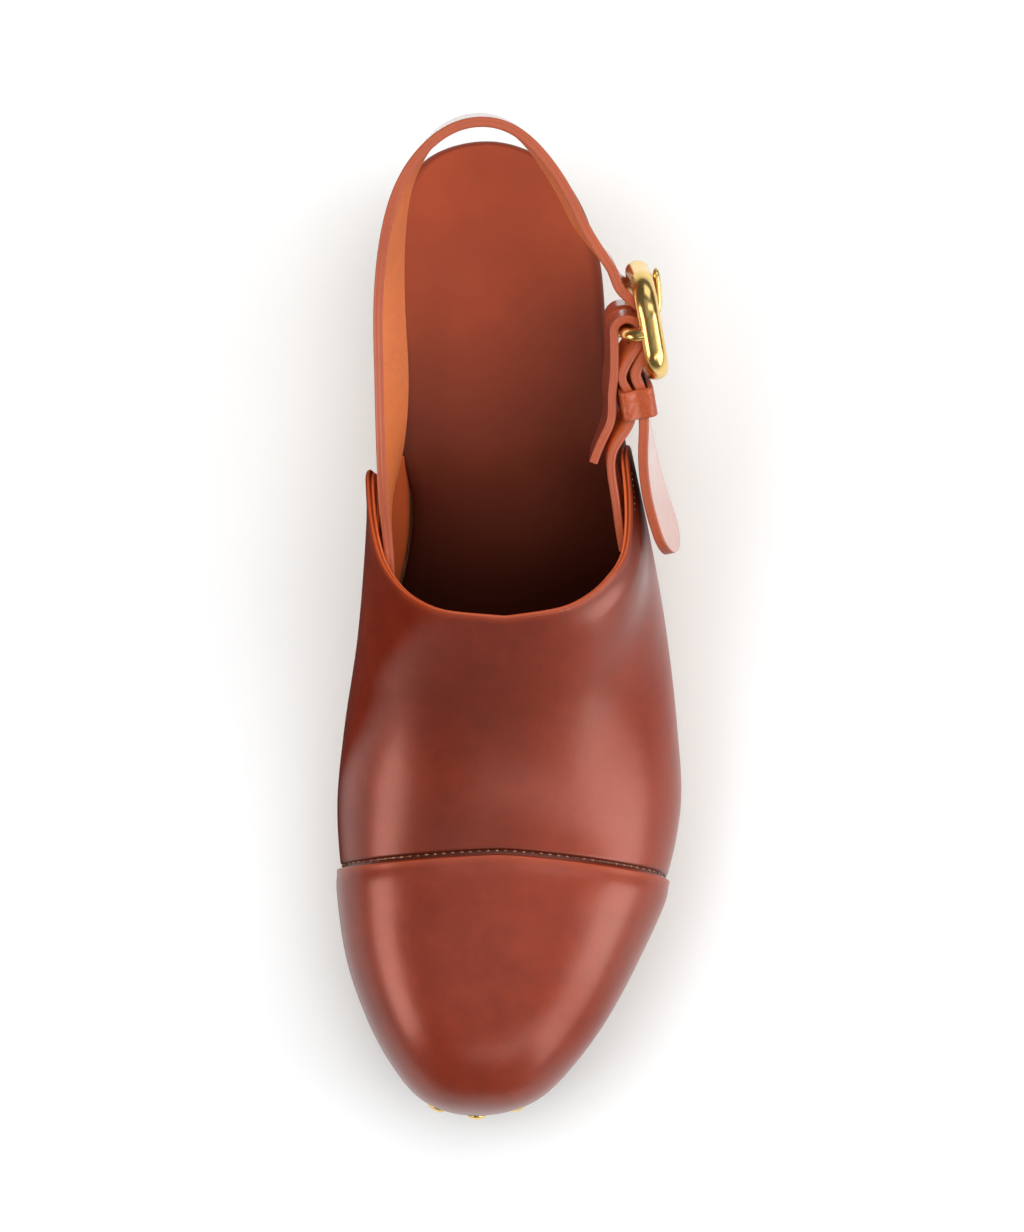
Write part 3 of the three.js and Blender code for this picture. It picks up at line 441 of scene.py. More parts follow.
strapLook = {
    "grain": tone(156, 68, 44),
    "flesh": tone(234, 127, 66),
    "edge": tone(172, 81, 48),
    "glare": tone(204, 146, 130),  # on the tail, which lies back in the light
    "line": tone(120, 44, 24),  # between the two leathers, along the edge
    "roughness": 0.34,
    "grainSize": 1300,
    "grainDepth": 0.04,
    "coat": 1.0,
}
keeperLook = {**strapLook, "grain": tone(172, 74, 30), "grainSize": 600, "grainDepth": 0.9, "coat": 0.0}


def strapLeather(name, look):
    strap = Finish(name, Coat_Roughness=0.22, Coat_IOR=1.8, Specular_IOR_Level=0.5)
    through = strap.mark("through")  # -1 on the foot's side, 1 outside
    clouds = strap.noise(40, 3, 0.6)
    fibres = strap.noise(900, 3, 0.7)
    faces = strap.mix(through.ramp(-0.9, 0.9), look["flesh"], look["grain"])
    onEdge = strap.mark("edge")
    paint = strap.mix(through.size().ramp(0.0, 0.12, 0.12, 0), look["edge"], look["line"])
    faces = strap.mix(strap.mark("tail") * through.ramp(0.3, 0.9), faces, look["glare"])
    colour = strap.mix(onEdge, faces, paint)
    colour = strap.mix((clouds * 0.6 + fibres * 0.4).ramp(0.3, 0.75, 0.0, 0.3), colour, look["line"])
    height = strap.cells(look["grainSize"]) * 0.5 + fibres * 0.5
    rougher = onEdge * 0.08 + through.ramp(-0.2, -0.9) * 0.2
    strap.set({
        "Base Color": colour,
        "Roughness": look["roughness"] + (clouds - 0.5) * 0.2 + rougher,
        "Coat Weight": through.ramp(0.3, 0.9) * (1 - onEdge) * look["coat"],
        "Normal": strap.bump(height, look["grainDepth"], 0.5),
    })
    return strap.material


sockLook = {
    "pale": tone(178, 78, 46),
    "deep": tone(150, 62, 36),
    # painted shade at the sock's edge, where it meets the wall
    "rim": tone(112, 42, 26),
    # painted shade: the sock inside the vamp, and at the heel's outer side
    "inside": tone(30, 7, 3),
    "roughness": 0.55,
}


def sockLeather(name, look):
    sock = Finish(name, Specular_IOR_Level=0.2)
    clouds = sock.noise(18, 4, 0.6)
    colour = sock.mix(clouds.ramp(0.3, 0.72), look["deep"], look["pale"])
    # painted shade at the sock's edge
    colour = sock.mix(sock.mark("rim"), colour, look["rim"])
    # painted shade inside the vamp and at the heel's outer side
    colour = sock.mix(sock.mark("inside"), colour, look["inside"])
    height = sock.cells(1100) * 0.6 + sock.noise(2200, 2) * 0.4
    sock.set({
        "Base Color": colour,
        "Roughness": look["roughness"] + (clouds - 0.5) * 0.25,
        "Normal": sock.bump(height, 0.05, 0.6),
    })
    return sock.material


woodLook = {
    "pale": tone(214, 172, 122),
    "dark": tone(166, 116, 72),
    "pore": tone(120, 78, 46),
    "roughness": 0.46,
}


def limeWood(name, look):
    wood = Finish(name, Coat_Weight=0.15, Coat_Roughness=0.35)
    wander = wood.noise(9, 3, 0.5, wood.place((1, 0.2, 1)))
    bands = {"Vector": wood.place((1, 0.09, 1)), "Scale": 38, "Distortion": 9, "Detail": 3}
    bands["Detail Scale"] = 1.2
    rings = wood.add("ShaderNodeTexWave", {"wave_type": "BANDS", "bands_direction": "Z"}, bands, "Fac")
    streaks = wood.noise(420, 4, 0.65, wood.place((1, 0.035, 1)))
    figure = (rings * 0.35 + wander * 0.4 + streaks * 0.25).ramp(0.25, 0.75)
    colour = wood.mix(figure, look["pale"], look["dark"])
    pores = wood.noise(900, 2, 0.5, wood.place((1, 0.05, 1))).ramp(0.62, 0.74)
    colour = wood.mix(pores * 0.5, colour, look["pore"])
    wood.set({
        "Base Color": colour,
        "Roughness": look["roughness"] + streaks * 0.15,
        "Normal": wood.bump(streaks - pores * 0.6, 0.06, 0.5),
    })
    return wood.material


rubberLook = {"dark": tone(66, 44, 32), "worn": tone(92, 66, 50), "roughness": 0.75}


def soleRubber(name, look):
    rubber = Finish(name, Specular_IOR_Level=0.35)
    dust = rubber.noise(60, 4, 0.6)
    grit = rubber.noise(1400, 2, 0.6)
    rubber.set({
        "Base Color": rubber.mix(dust.ramp(0.35, 0.7), look["dark"], look["worn"]),
        "Roughness": look["roughness"] + dust * 0.15,
        "Normal": rubber.bump(grit, 0.08, 0.6),
    })
    return rubber.material


brassLook = {"gold": tone(240, 206, 132), "shade": tone(222, 182, 104), "roughness": 0.15}


def polishedBrass(name, look, handWorn):
    brass = Finish(name, Metallic=1.0)
    smears = brass.noise(120, 3, 0.6)
    scratches = brass.noise(700, 3, 0.7, brass.place((1, 0.2, 0.2)))
    brass.set({
        "Base Color": brass.mix(smears.ramp(0.3, 0.7), look["shade"], look["gold"]),
        "Roughness": look["roughness"] + smears * 0.08 + scratches * handWorn,
        "Normal": brass.bump(scratches, 0.01, 0.25),
    })
    return brass.material


threadLook = {"pale": tone(176, 128, 96), "dark": tone(88, 44, 28), "roughness": 0.75}


def waxedThread(name, look):
    thread = Finish(name, Specular_IOR_Level=0.3)
    ply = thread.noise(1800, 2)
    thread.set({
        "Base Color": thread.mix(ply.ramp(0.3, 0.7), look["dark"], look["pale"]),
        "Roughness": look["roughness"] + ply * 0.1,
        "Normal": thread.bump(ply, 0.05, 0.6),
    })
    return thread.material


calf = burnishedCalf("burnishedCalf", calfLook, True)
capCalf = burnishedCalf("capCalf", calfLook, False)
strapFinish = strapLeather("strapLeather", strapLook)
keeperFinish = strapLeather("keeperLeather", keeperLook)
sockFinish = sockLeather("sockLeather", sockLook)
woodFinish = limeWood("limeWood", woodLook)
rubberFinish = soleRubber("soleRubber", rubberLook)
brassFinish = polishedBrass("polishedBrass", brassLook, 0.05)
threadFinish = waxedThread("waxedThread", threadLook)
print("stage: finishes made")

# Vamp and toe cap: shells over the last, each a closed section from the toe over its edge and back inside

vampShape = {
    "wall": 2.2,
    "foldRadius": 0.68,  # turned-in outer leather at the top line
    "liningRadius": 0.35,
    "liningBack": 1.05,  # how far the lining's edge lies inside the fold's
    "grooveDepth": 0.6,  # channel behind the toe cap's edge
    "grooveWidth": 0.55,
    "grooveBehind": 0.75,
    "denseBehind": 4.5,  # stretch at the channel with closer points
    "densePast": 2.0,
    "seamShade": 0.8,  # reach of the painted shade on each side of the channel
    "seamMost": 0.9,
    # painted highlight along the folded top line
    "foldHighlight": 0.25,
    "foldReach": (0.4, 1.8),
    "foldBright": (1.45, 0.55),  # middle and reach of the painted highlight line, in radians round the fold
}
capShape = {
    "gap": 0.3,
    "thickness": 1.4,
    "round": 0.4,
    "press": 0.6,  # how far the edge is pressed down
    "pressWide": 2.6,
    # painted highlight along the toe cap's edge
    "foldHighlight": 0.3,
    "foldReach": (0.3, 2.0),
}

bandsUp = ((0, 15, 12), (15, 45, 39), (45, 90, 35))  # degrees up the section, and rows between them
rowsUp = [np.linspace(low, high, count + 1)[:-1] for low, high, count in bandsUp]
rowsUp = np.concatenate([*rowsUp, [90]]) / 180
domeRows = np.concatenate([rowsUp, 1 - rowsUp[-2::-1]])
shellRows = np.concatenate([np.linspace(-1, 0, 7)[:-1], domeRows, np.linspace(1, 2, 7)[1:]])

# Ridges and troughs of the leather: place along and up, size along and across, turn in degrees, and height
vampFolds = [
    {"at": 0.45, "row": 0.25, "long": 30, "wide": 9, "turn": 14, "height": 1.3},
    {"at": 0.44, "row": 0.16, "long": 24, "wide": 7, "turn": 14, "height": -0.7},
    {"at": 0.43, "row": 0.8, "long": 20, "wide": 8, "turn": -10, "height": -0.4},
    {"at": 0.6, "row": 0.3, "long": 22, "wide": 14, "turn": 20, "height": -0.35},
    {"at": 0.62, "row": 0.68, "long": 18, "wide": 12, "turn": -30, "height": -0.3},
]

# Spots of painted shade, darker, and places with less gloss: place, size along and across, and how much
calfShades = [
    {"at": 0.585, "row": 0.52, "long": 30, "wide": 24, "most": 0.5},
    {"at": 0.7, "row": 0.55, "long": 16, "wide": 26, "most": 0.45},
    {"at": 0.35, "row": 0.15, "long": 19, "wide": 18, "most": 1.0},
]
calfDulls = [
    {"at": 0.585, "row": 0.25, "long": 24, "wide": 16, "most": 0.5},
    {"at": 0.9, "row": 0.3, "long": 14, "wide": 11, "most": 0.45},
]
# Painted shade on the inner side, and low gloss there and at the outer rear corner, where there is little to
# reflect
sideLook = {
    "shade": 0.55,
    "vampRows": (0.78, 0.92),
    "capRows": (0.84, 0.95),
    "capDull": 1.6,  # as a multiple of its shade
    "dullFrom": 0.53,
    "dullFade": 0.1,
    "dullSteps": [(0.46, 0.56, 0.13), (0.56, 0.67, 0.12)],  # from and to along the shoe, and how far it drops
    "corner": 0.85,
    "cornerRows": (0.32, 0.2),
    "cornerAt": (0.38, 0.46),
    "shadedDull": (0.55, 0.95),
}


def spotsOn(points, spots):
    most = np.zeros(points.shape[:-1])
    for spot in spots:
        offset = points - footPoint(turnOf(np.array(spot["at"])), np.array(spot["row"]))
        spread = (offset[..., 1] / spot["long"]) ** 2 + (offset[..., [0, 2]] ** 2).sum(-1) / spot["wide"] ** 2
        most = np.maximum(most, spot["most"] * np.exp(-spread))
    return most


def dullOf(points, rows, shade):
    look, at = sideLook, atY(points[..., 1])
    low = look["dullFrom"]
    for start, end, drop in look["dullSteps"]:
        low = low + drop * ramp(start, end, at)
    medial = ramp(low, low + look["dullFade"], rows[:, None])
    lateral = look["corner"] * ramp(*look["cornerRows"], rows[:, None]) * (1 - ramp(*look["cornerAt"], at))
    return np.maximum.reduce([medial, lateral, ramp(*look["shadedDull"], shade), spotsOn(points, calfDulls)])


def foldRelief(points):
    relief = np.zeros(points.shape[:-1])
    for fold in vampFolds:
        offset = points - footPoint(turnOf(np.array(fold["at"])), np.array(fold["row"]))
        angle = math.radians(fold["turn"])
        along = offset[..., 1] * math.cos(angle) + offset[..., 0] * math.sin(angle)
        across = offset - along[..., None] * np.array([math.sin(angle), math.cos(angle), 0])
        spread = (along / fold["long"]) ** 2 + (across**2).sum(-1) / fold["wide"] ** 2
        relief = relief + fold["height"] * np.exp(-spread)
    return relief


def alongSpeed(turn):  # millimetres along the shoe for a unit of turn
    return last["length"] / 2 * np.sin(turn)


# The edge is a list of steps from the outer skin round to the inner one: how far forward, and how high
def shellMesh(name, outerTurns, edge, innerTurns, outerRelief, inside, marks):
    rows = shellRows[:, None]
    outer = footOffset(outerTurns, rows, outerRelief)
    start = outerTurns[:, -1:] - edge[0][0] / alongSpeed(outerTurns[:, -1:])
    forward, high = np.array(edge).T
    rim = footOffset(start + forward / alongSpeed(start), rows, high)
    inner = footOffset(innerTurns, rows, np.array(inside))
    points = np.concatenate([outer, rim, inner], 1)
    count = points.shape[1]
    faces = np.concatenate([gridFaces(len(shellRows), count), *endStrips(count, len(shellRows))])
    return meshOf(name, points, faces, marks(points))


def arcOf(radius, degrees, steps):  # a rounding from its top on: how far forward, and how high
    angles = np.linspace(0, math.radians(degrees), steps)
    return [(-radius * math.sin(a), radius * math.cos(a)) for a in angles]


def vampMesh():
    shape = vampShape
    rows = shellRows
    start = upperStart(rows)
    seam = capStart(rows)
    rear = start + shape["foldRadius"] / alongSpeed(start)
    behind = seam - shape["denseBehind"] / alongSpeed(seam)
    past = seam + shape["densePast"] / alongSpeed(seam)
    outerTurns = np.concatenate([
        past[:, None] + (math.pi - past)[:, None] * np.linspace(1, 0, 30)[None, :-1],
        behind[:, None] + (past - behind)[:, None] * np.linspace(1, 0, 20)[None, :-1],
        rear[:, None] + (behind - rear)[:, None] * np.linspace(1, 0, 96)[None, :] ** 1.25,
    ], 1)
    distance = (seam[:, None] - outerTurns) * alongSpeed(seam)[:, None]
    groove = np.exp(-(((distance - shape["grooveBehind"]) / shape["grooveWidth"]) ** 2))
    flat = footPoint(outerTurns, rows[:, None])
    edgeFade = ramp(0, 0.05, outerTurns - start[:, None])
    relief = foldRelief(flat) * edgeFade * ramp(0.02, 0.12, np.minimum(rows, 1 - rows))[:, None]
    relief = relief - groove * shape["grooveDepth"]
    radius = shape["foldRadius"]
    fold = [(radius + forward, high - radius) for forward, high in arcOf(radius, 180, 9)]
    small, back = shape["liningRadius"], shape["liningBack"]
    lining = [(back + forward, high + small - shape["wall"]) for forward, high in arcOf(small, 180, 6)]
    between = [(back + small, (fold[-1][1] + lining[0][1]) / 2)]
    edge = fold + between + lining
    innerStart = start + back / alongSpeed(start)
    innerTurns = innerStart[:, None] + (math.pi - innerStart)[:, None] * np.linspace(0, 1, 70)[None, 1:]

    def marks(points):
        lined, folded, dark = (np.zeros(points.shape[:2]) for _ in range(3))
        outerCount = outerTurns.shape[1]
        foldEnd = outerCount + len(fold)
        lined[:, foldEnd:] = 1
        gap = (outerTurns - start[:, None]) * alongSpeed(start)[:, None]
        # painted highlight: a lighter band behind the top line, and a bright line round the fold
        folded[:, :outerCount] = shape["foldHighlight"] * (1 - ramp(*shape["foldReach"], gap))
        middle, reach = shape["foldBright"]
        bright = np.exp(-(((np.linspace(0, math.pi, len(fold)) - middle) / reach) ** 2))
        folded[:, outerCount:foldEnd] = np.maximum(shape["foldHighlight"], bright)
        # painted shade on each side of the channel behind the toe cap
        nearSeam = np.exp(-(((distance - shape["grooveBehind"]) / shape["seamShade"]) ** 2))
        dark[:, :outerCount] = nearSeam * shape["seamMost"]
        # painted shade along the inner side and in the darker spots
        side = sideLook["shade"] * ramp(*sideLook["vampRows"], rows)[:, None]
        shade = np.maximum(spotsOn(points, calfShades), side)
        dull = dullOf(points, rows, shade)
        return {"lining": lined, "fold": folded, "seam": dark, "shade": shade, "dull": dull}

    return shellMesh("vamp", outerTurns, edge, innerTurns, relief, -shape["wall"], marks)


def capMesh():
    shape = capShape
    rows = shellRows
    start = capStart(rows)
    low, high, roll = shape["gap"], shape["gap"] + shape["thickness"], shape["round"]
    rear = start + roll / alongSpeed(start)
    outerTurns = rear[:, None] + (math.pi - rear)[:, None] * np.linspace(1, 0, 80)[None, :] ** 1.15
    gap = (outerTurns - start[:, None]) * alongSpeed(start)[:, None]
    relief = high - shape["press"] * np.exp(-((gap - roll) / shape["pressWide"]) ** 2)
    top = high - shape["press"] - roll
    edge = [(roll + forward, top + up) for forward, up in arcOf(roll, 90, 6)] + [(0, low)]
    innerTurns = start[:, None] + (math.pi - start)[:, None] * np.linspace(0, 1, 40)[None, 1:]

    def marks(points):
        folded = np.zeros(points.shape[:2])
        outerCount = outerTurns.shape[1]
        # painted highlight along the toe cap's edge and its edge face
        folded[:, :outerCount] = shape["foldHighlight"] * (1 - ramp(*shape["foldReach"], gap))
        folded[:, outerCount:outerCount + 4] = shape["foldHighlight"]
        # painted shade along the inner side
        side = sideLook["shade"] * ramp(*sideLook["capRows"], rows)[:, None]
        shade = np.broadcast_to(side, points.shape[:2])
        dull = np.maximum(shade * sideLook["capDull"], spotsOn(points, calfDulls))
        return {"lining": np.zeros(points.shape[:2]), "fold": folded, "shade": shade, "dull": dull}

    return shellMesh("toeCap", outerTurns, edge, innerTurns, relief, low, marks)


addPiece("vamp", vampMesh(), calf, "upper_leather", "upper")
addPiece("toeCap", capMesh(), capCalf, "upper_leather", "toe_cap")

# Sole: rings round the edge, lowest first, closed by strips from the outer to the inner side

soleShape = {
    "clearance": 0.3,
    "draft": 3.2,  # how far the foot of the wood is drawn in
    "round": 1.2,
    "ledge": 0.4,
    "rubber": 4.0,
    "sock": 3.0,
    "sockEdge": 0.2,  # how far the sock's edge lies inside the wood's
    "sockRim": 1.1,  # how far the rim stands over the dish for the heel
    "sockArch": 2.2,
    "drawIn": 14.0,  # length over which sock and wood draw in behind the vamp's wall
    "woodEdge": 0.5,
    "bareLedge": 3.0,  # depth of the rebate where there is no vamp
    "shadeToVamp": (0.04, 0.47),  # painted shade on the sock's colour, towards the inside of the vamp
}
upperBack = {"lateral": float(upperStart(np.array(0.0))), "medial": float(upperStart(np.array(1.0)))}
capBack = {"lateral": float(capStart(np.array(0.0))), "medial": float(capStart(np.array(1.0)))}


def backAt(turn, backs):
    return np.where(turn >= 0, backs["lateral"], backs["medial"])


def covered(turn):  # 1 where the vamp's margin lies on the side of the wood
    back = atOf(backAt(turn, upperBack))
    step = 1 / last["length"]
    return ramp(back - 1.6 * step, back - 0.5 * step, atOf(np.abs(turn)))


def insideVamp(turn):  # the sock and the top of the wood draw in behind the vamp's wall
    back = atOf(backAt(turn, upperBack)) * last["length"]
    return ramp(back, back + soleShape["drawIn"], atOf(np.abs(turn)) * last["length"])


def underCap(turn):
    return ramp(-0.1, -0.02, np.abs(turn) - backAt(turn, capBack))


def ledgeReach(turn):
    return covered(turn) * (soleShape["ledge"] + underCap(turn) * (capShape["thickness"] + capShape["gap"]))


def soleTurns(count):
    even = np.linspace(0, math.pi, count + 1)
    step = 1 / last["length"]
    close = [turnOf(atOf(back) + k * step) for back in upperBack.values() for k in np.linspace(-2, 0, 9)]
    turns = np.sort(np.concatenate([even, close]))
    return np.concatenate([turns, -turns[-2:0:-1]])


def soleRing(turns, offset, height):
    plan = edgePoint(turns) + edgeNormal(turns) * np.broadcast_to(offset, turns.shape)[:, None]
    return np.concatenate([plan, np.broadcast_to(height, turns.shape)[:, None]], 1)


def quarter(steps):  # sine and cosine from 0 to 90 degrees
    angles = [share * math.pi / 2 for share in np.linspace(0, 1, steps)]
    return [(math.sin(angle), math.cos(angle)) for angle in angles]


def stackMesh(name, rings, across, topLift, bottomLift, sharpAngle, marks=lambda points, ring, share: {}):
    rings = np.array(rings)
    count = rings.shape[1]
    toe = count // 2
    points, faces = [rings.reshape(-1, 3)], [gridFaces(len(rings), count, wrapColumns=True)]
    values = [marks(rings.reshape(-1, 3), np.repeat(np.arange(len(rings)), count), None)]
    start = rings.shape[0] * count
    for ring, lift, turned in ((rings[0], bottomLift, True), (rings[-1], topLift, False)):
        outer, inner = ring[: toe + 1], ring[(count - np.arange(toe + 1)) % count]
        share = np.linspace(0, 1, across + 1)
        grid = outer[:, None] * (1 - share)[None, :, None] + inner[:, None] * share[None, :, None]
        inside = np.ones(grid.shape[:2])
        inside[[0, -1]] = 0
        inside[:, [0, -1]] = 0
        grid[..., 2] += lift(grid, share[None, :]) * inside
        points.append(grid.reshape(-1, 3))
        values.append(marks(grid.reshape(-1, 3), None, np.broadcast_to(share, grid.shape[:2]).ravel()))
        faces.append(gridFaces(toe + 1, across + 1, start, turned=turned))
        start += (toe + 1) * (across + 1)
    joined = {name: np.concatenate([v[name] for v in values]) for name in values[0]}
    return meshOf(name, np.concatenate(points), np.concatenate(faces), joined, sharpAngle)


def noLift(grid, share):
    return np.zeros(grid.shape[:2])


def woodMesh():
    shape = soleShape
    turns = soleTurns(220)
    cover = covered(turns)
    inside = insideVamp(turns)
    top = seatZ(turns)
    foot = treadZ(turns) + shape["rubber"] + shape["clearance"]
    bare, edge, rounding = shape["bareLedge"], shape["woodEdge"], shape["round"]
    ledge = top - (bare + (last["margin"] + shape["clearance"] - bare) * cover)
    inset = edge + (vampShape["wall"] + 3.5 * shape["clearance"] - edge) * inside
    reach = ledgeReach(turns)
    rings = []
    for sine, cosine in quarter(4):  # lower edge
        out = -shape["draft"] - rounding / 2 * (1 - sine)
        rings.append(soleRing(turns, out, foot + rounding / 2 * (1 - cosine)))
    low, high = foot + rounding / 2, ledge - rounding
    sideRow = curveOf([0, 0.45, 1], [-shape["draft"], -shape["draft"] * 0.72, 0])
    for share in np.linspace(0, 1, 14)[1:]:
        rings.append(soleRing(turns, sideRow(share) + reach * share, low + (high - low) * share))
    for sine, cosine in quarter(4)[1:]:  # edge of the rebate
        rings.append(soleRing(turns, reach - 0.35 * (1 - cosine), high + (rounding - 0.05) * sine))
    rings.append(soleRing(turns, -inset, ledge))
    for sine, cosine in quarter(5):  # top edge
        rings.append(soleRing(turns, -inset - rounding * (1 - cosine), top - rounding * (1 - sine)))
    return stackMesh("wedge", rings, 24, noLift, noLift, 35)


treadShape = {
    "pitch": 6.4,
    "groove": 1.6,
    "depth": 0.9,
    "lip": 0.35,  # slope of a groove's side
    "bend": 15.0,  # how far the bars run back from the middle to the side
    "side": (0.86, 0.8),  # plain border, as shares of the half width and in turns at both ends
    "ends": (0.3, 0.4),
    "round": 1.4,
    "setIn": 0.4,
}


def treadLift(grid, share):
    shape = treadShape
    across = np.abs(share - 0.5) * 2
    turns = turnOf(atY(grid[..., 1]))
    bars = (grid[..., 1] + shape["bend"] * across) % shape["pitch"]
    cut = ramp(0, shape["lip"], bars) * (1 - ramp(shape["groove"], shape["groove"] + shape["lip"], bars))
    ends = ramp(*shape["ends"], turns) * ramp(*shape["ends"], math.pi - turns)
    return shape["depth"] * cut * ramp(*shape["side"], across) * ends


def rubberMesh():
    turns = soleTurns(520)
    tread, rounding = treadZ(turns), treadShape["round"]
    out = -soleShape["draft"] - treadShape["setIn"]
    rings = [soleRing(turns, out - (1 - sine), tread + rounding * (1 - cosine))
             for sine, cosine in quarter(5)]
    for share in np.linspace(0, 1, 4)[1:]:
        rings.append(soleRing(turns, out, tread + rounding + (soleShape["rubber"] - rounding) * share))
    return stackMesh("tread", rings, 60, noLift, treadLift, 35)


def sockLift(grid, share):  # dished under the heel and raised under the arch
    at = atY(grid[..., 1])
    turns = turnOf(at)
    lateral, medial = (outline[name](turns) * last["ballWidth"] - 2.8 for name in ("lateral", "medial"))
    share = np.clip((lateral - grid[..., 0]) / (lateral + medial), 0, 1)
    dish = -soleShape["sockRim"] * 4 * share * (1 - share) * (1 - ramp(0.16, 0.4, at)) * ramp(0, 0.06, at)
    middle = ramp(0.2, 0.38, at) * (1 - ramp(0.45, 0.62, at))
    return dish + soleShape["sockArch"] * np.sin(math.pi * share) * share * middle


def sockMesh():
    shape = soleShape
    turns = soleTurns(220)
    base = seatZ(turns) + shape["clearance"]
    edge, rounding = shape["sockEdge"], shape["round"]
    inset = edge + (vampShape["wall"] + 2 * shape["clearance"] - edge) * insideVamp(turns)
    low = 0.4 * rounding  # height of the sock's widest line
    rings = [soleRing(turns, -inset - rounding, base)]
    for i, (sine, _) in enumerate(quarter(4)):
        rings.append(soleRing(turns, -inset - rounding * (1 - sine) * 0.6, base + low * i / 3))
    for sine, cosine in quarter(7)[1:]:
        high = base + low + (shape["sock"] - low) * sine
        rings.append(soleRing(turns, -inset - rounding * (1 - cosine), high))

    def marks(points, ring, share):
        at = atY(points[:, 1])
        # painted shade, towards the inside of the vamp and towards the heel's outer side under the strap
        toVamp = 0.97 * ramp(*soleShape["shadeToVamp"], at)
        toOuter = 0.5 * ramp(-8, 26, points[:, 0]) * ramp(0.02, 0.2, at)
        inside = 1 - (1 - toVamp) * (1 - toOuter)
        # painted shade: darker all round the sock's side, and less on its rounded top edge and the top's
        # outer band
        if ring is not None:
            return {"rim": np.where(ring < 7, 1.0, 0.6), "inside": inside}
        edge = np.minimum(share, 1 - share)
        return {"rim": 0.6 * (1 - ramp(0.0, 0.05, edge)), "inside": inside}

    return stackMesh("sock", rings, 60, sockLift, noLift, 60, marks)


addPiece("woodWedge", woodMesh(), woodFinish, "sole_wood", "wedge_sole")
addPiece("rubberTread", rubberMesh(), rubberFinish, "sole_rubber", "outsole")
addPiece("sock", sockMesh(), sockFinish, "sock_leather", "insole")

# Straps: leather bands along a line in space, in the strap's own length, height and thickness

strapShape = {
    "width": 16.0,
    "thickness": 2.6,
    "rise": 50.0,  # middle of the strap over the wood, behind the heel
    "tab": 9.0,  # length of the tail's round end
    "ease": 0.5,
    "layerLine": 0.03,  # depth of the line between the two leathers, along the edge
    "hole": 1.7,
    "prongHole": 1.75,
    "holePitch": 9.0,
    "holes": 5,
    "holesBehind": 2,
    "ownThickness": 2.2,  # the buckle strap's
    "ownWidth": 15.4,
}
buckleShape = {
    "length": 28.6,  # outside, along the strap
    "depth": 5.8,
    "band": 4.7,
    "height": 27.2,
    "corner": 9.6,
    "bar": 1.7,
    "drop": 5.8,  # centre bar below the plane of the frame
    "barBend": 2.2,
    "prong": 1.15,
    "prongShort": 1.4,  # its tip stops this far inside the frame's end
    "eye": 3.2,
    "eyeWall": 1.3,
    "yaw": 11.0,
    "slope": 20.0,
    "lean": -1.0,
    "spot": (0.1965, 0.361, 0.7),  # middle of the bar: shares of length, ball width and strap rise
    "clearance": 0.3,
    "stack": 0.6,
    "loop": 0.6,
}

# Middle line of the heel strap behind the buckle, and its tail: at, side, up, lean
slingRows = [
    (0.335, -0.305, 0.52, 16), (0.26, -0.302, 0.68, 26), (0.174, -0.312, 0.815, 22),
    (0.108, -0.302, 0.905, 15), (0.06, -0.272, 0.96, 7), (0.023, -0.208, 0.99, -4),
    (0.001, -0.13, 1, -11), (-0.004, -0.05, 1, -13), (0.001, 0.023, 0.995, -10),
    (0.02, 0.088, 0.985, -3), (0.048, 0.15, 0.95, 0), (0.079, 0.204, 0.905, 2),
    (0.112, 0.246, 0.845, 1),
]
tailRows = [
    (0.324, 0.432, 0.475, -15), (0.36, 0.455, 0.405, -20), (0.384, 0.476, 0.36, -22),
    (0.408, 0.503, 0.315, -23), (0.421, 0.519, 0.29, -23),
]
slingAnchor = [(0.44, 31), (0.41, 28.5), (0.377, 27.5)]
ownAnchor = [(0.37, 26), (0.405, 27)]
# Through the buckle: along as a share of the frame, over 0 under the frame and 1 over the bar
throughRows = [
    (-0.62, -0.5), (-0.42, -0.32), (-0.28, 0.22), (-0.12, 0.92), (0, 1), (0.12, 0.92), (0.28, 0.22),
    (0.42, -0.26), (0.56, 0), (0.7, 0), (0.82, 0),
]
innerLegRows = [(1.14, -2.25), (1.04, -2), (0.92, -1.6), (0.78, -1.22), (0.6, -1.16), (0.35, -0.84)]
outerLegRows = [
    (0.12, 0.88), (0.27, 0.14), (0.42, -0.32), (0.56, -0.04), (0.7, -0.02), (0.82, -0.08), (0.94, -0.8),
    (1.07, -1.4),
]


def splineOf(points):  # centripetal, as the part's straps
    points = np.array(points, float)
    full = np.concatenate([[2 * points[0] - points[1]], points, [2 * points[-1] - points[-2]]])
    gaps = np.linalg.norm(np.diff(full, axis=0), axis=1) ** 0.5

    def at(share):
        spot = np.clip(share, 0, 1) * (len(points) - 1)
        i = np.minimum(spot.astype(int), len(points) - 2)
        s = (spot - i)[:, None]
        p0, p1, p2, p3 = (full[i + k] for k in range(4))
        d0, d1, d2 = (gaps[i + k][:, None] for k in range(3))
        first = ((p1 - p0) / d0 - (p2 - p0) / (d0 + d1) + (p2 - p1) / d1) * d1
        second = ((p2 - p1) / d1 - (p3 - p1) / (d1 + d2) + (p3 - p2) / d2) * d1
        curve = p1 + first * s + (3 * (p2 - p1) - 2 * first - second) * s**2
        return curve + (2 * (p1 - p2) + first + second) * s**3

    return at


def leftOf(along):
    return unit(np.array([-along[1], along[0], 0]))


def strapPlace(at, across, up):
    return np.array([across * last["ballWidth"], lengthY(at), last["heelSeat"] + up * strapShape["rise"]])


def spaceRows(rows):
    places = [strapPlace(*row[:3]) for row in rows]
    lines = []
    for i, row in enumerate(rows):
        out = leftOf(places[min(len(rows) - 1, i + 1)] - places[max(0, i - 1)])
        lean = math.radians(row[3])
        lines.append((places[i], np.array([0, 0, math.cos(lean)]) + out * math.sin(lean)))
    return lines


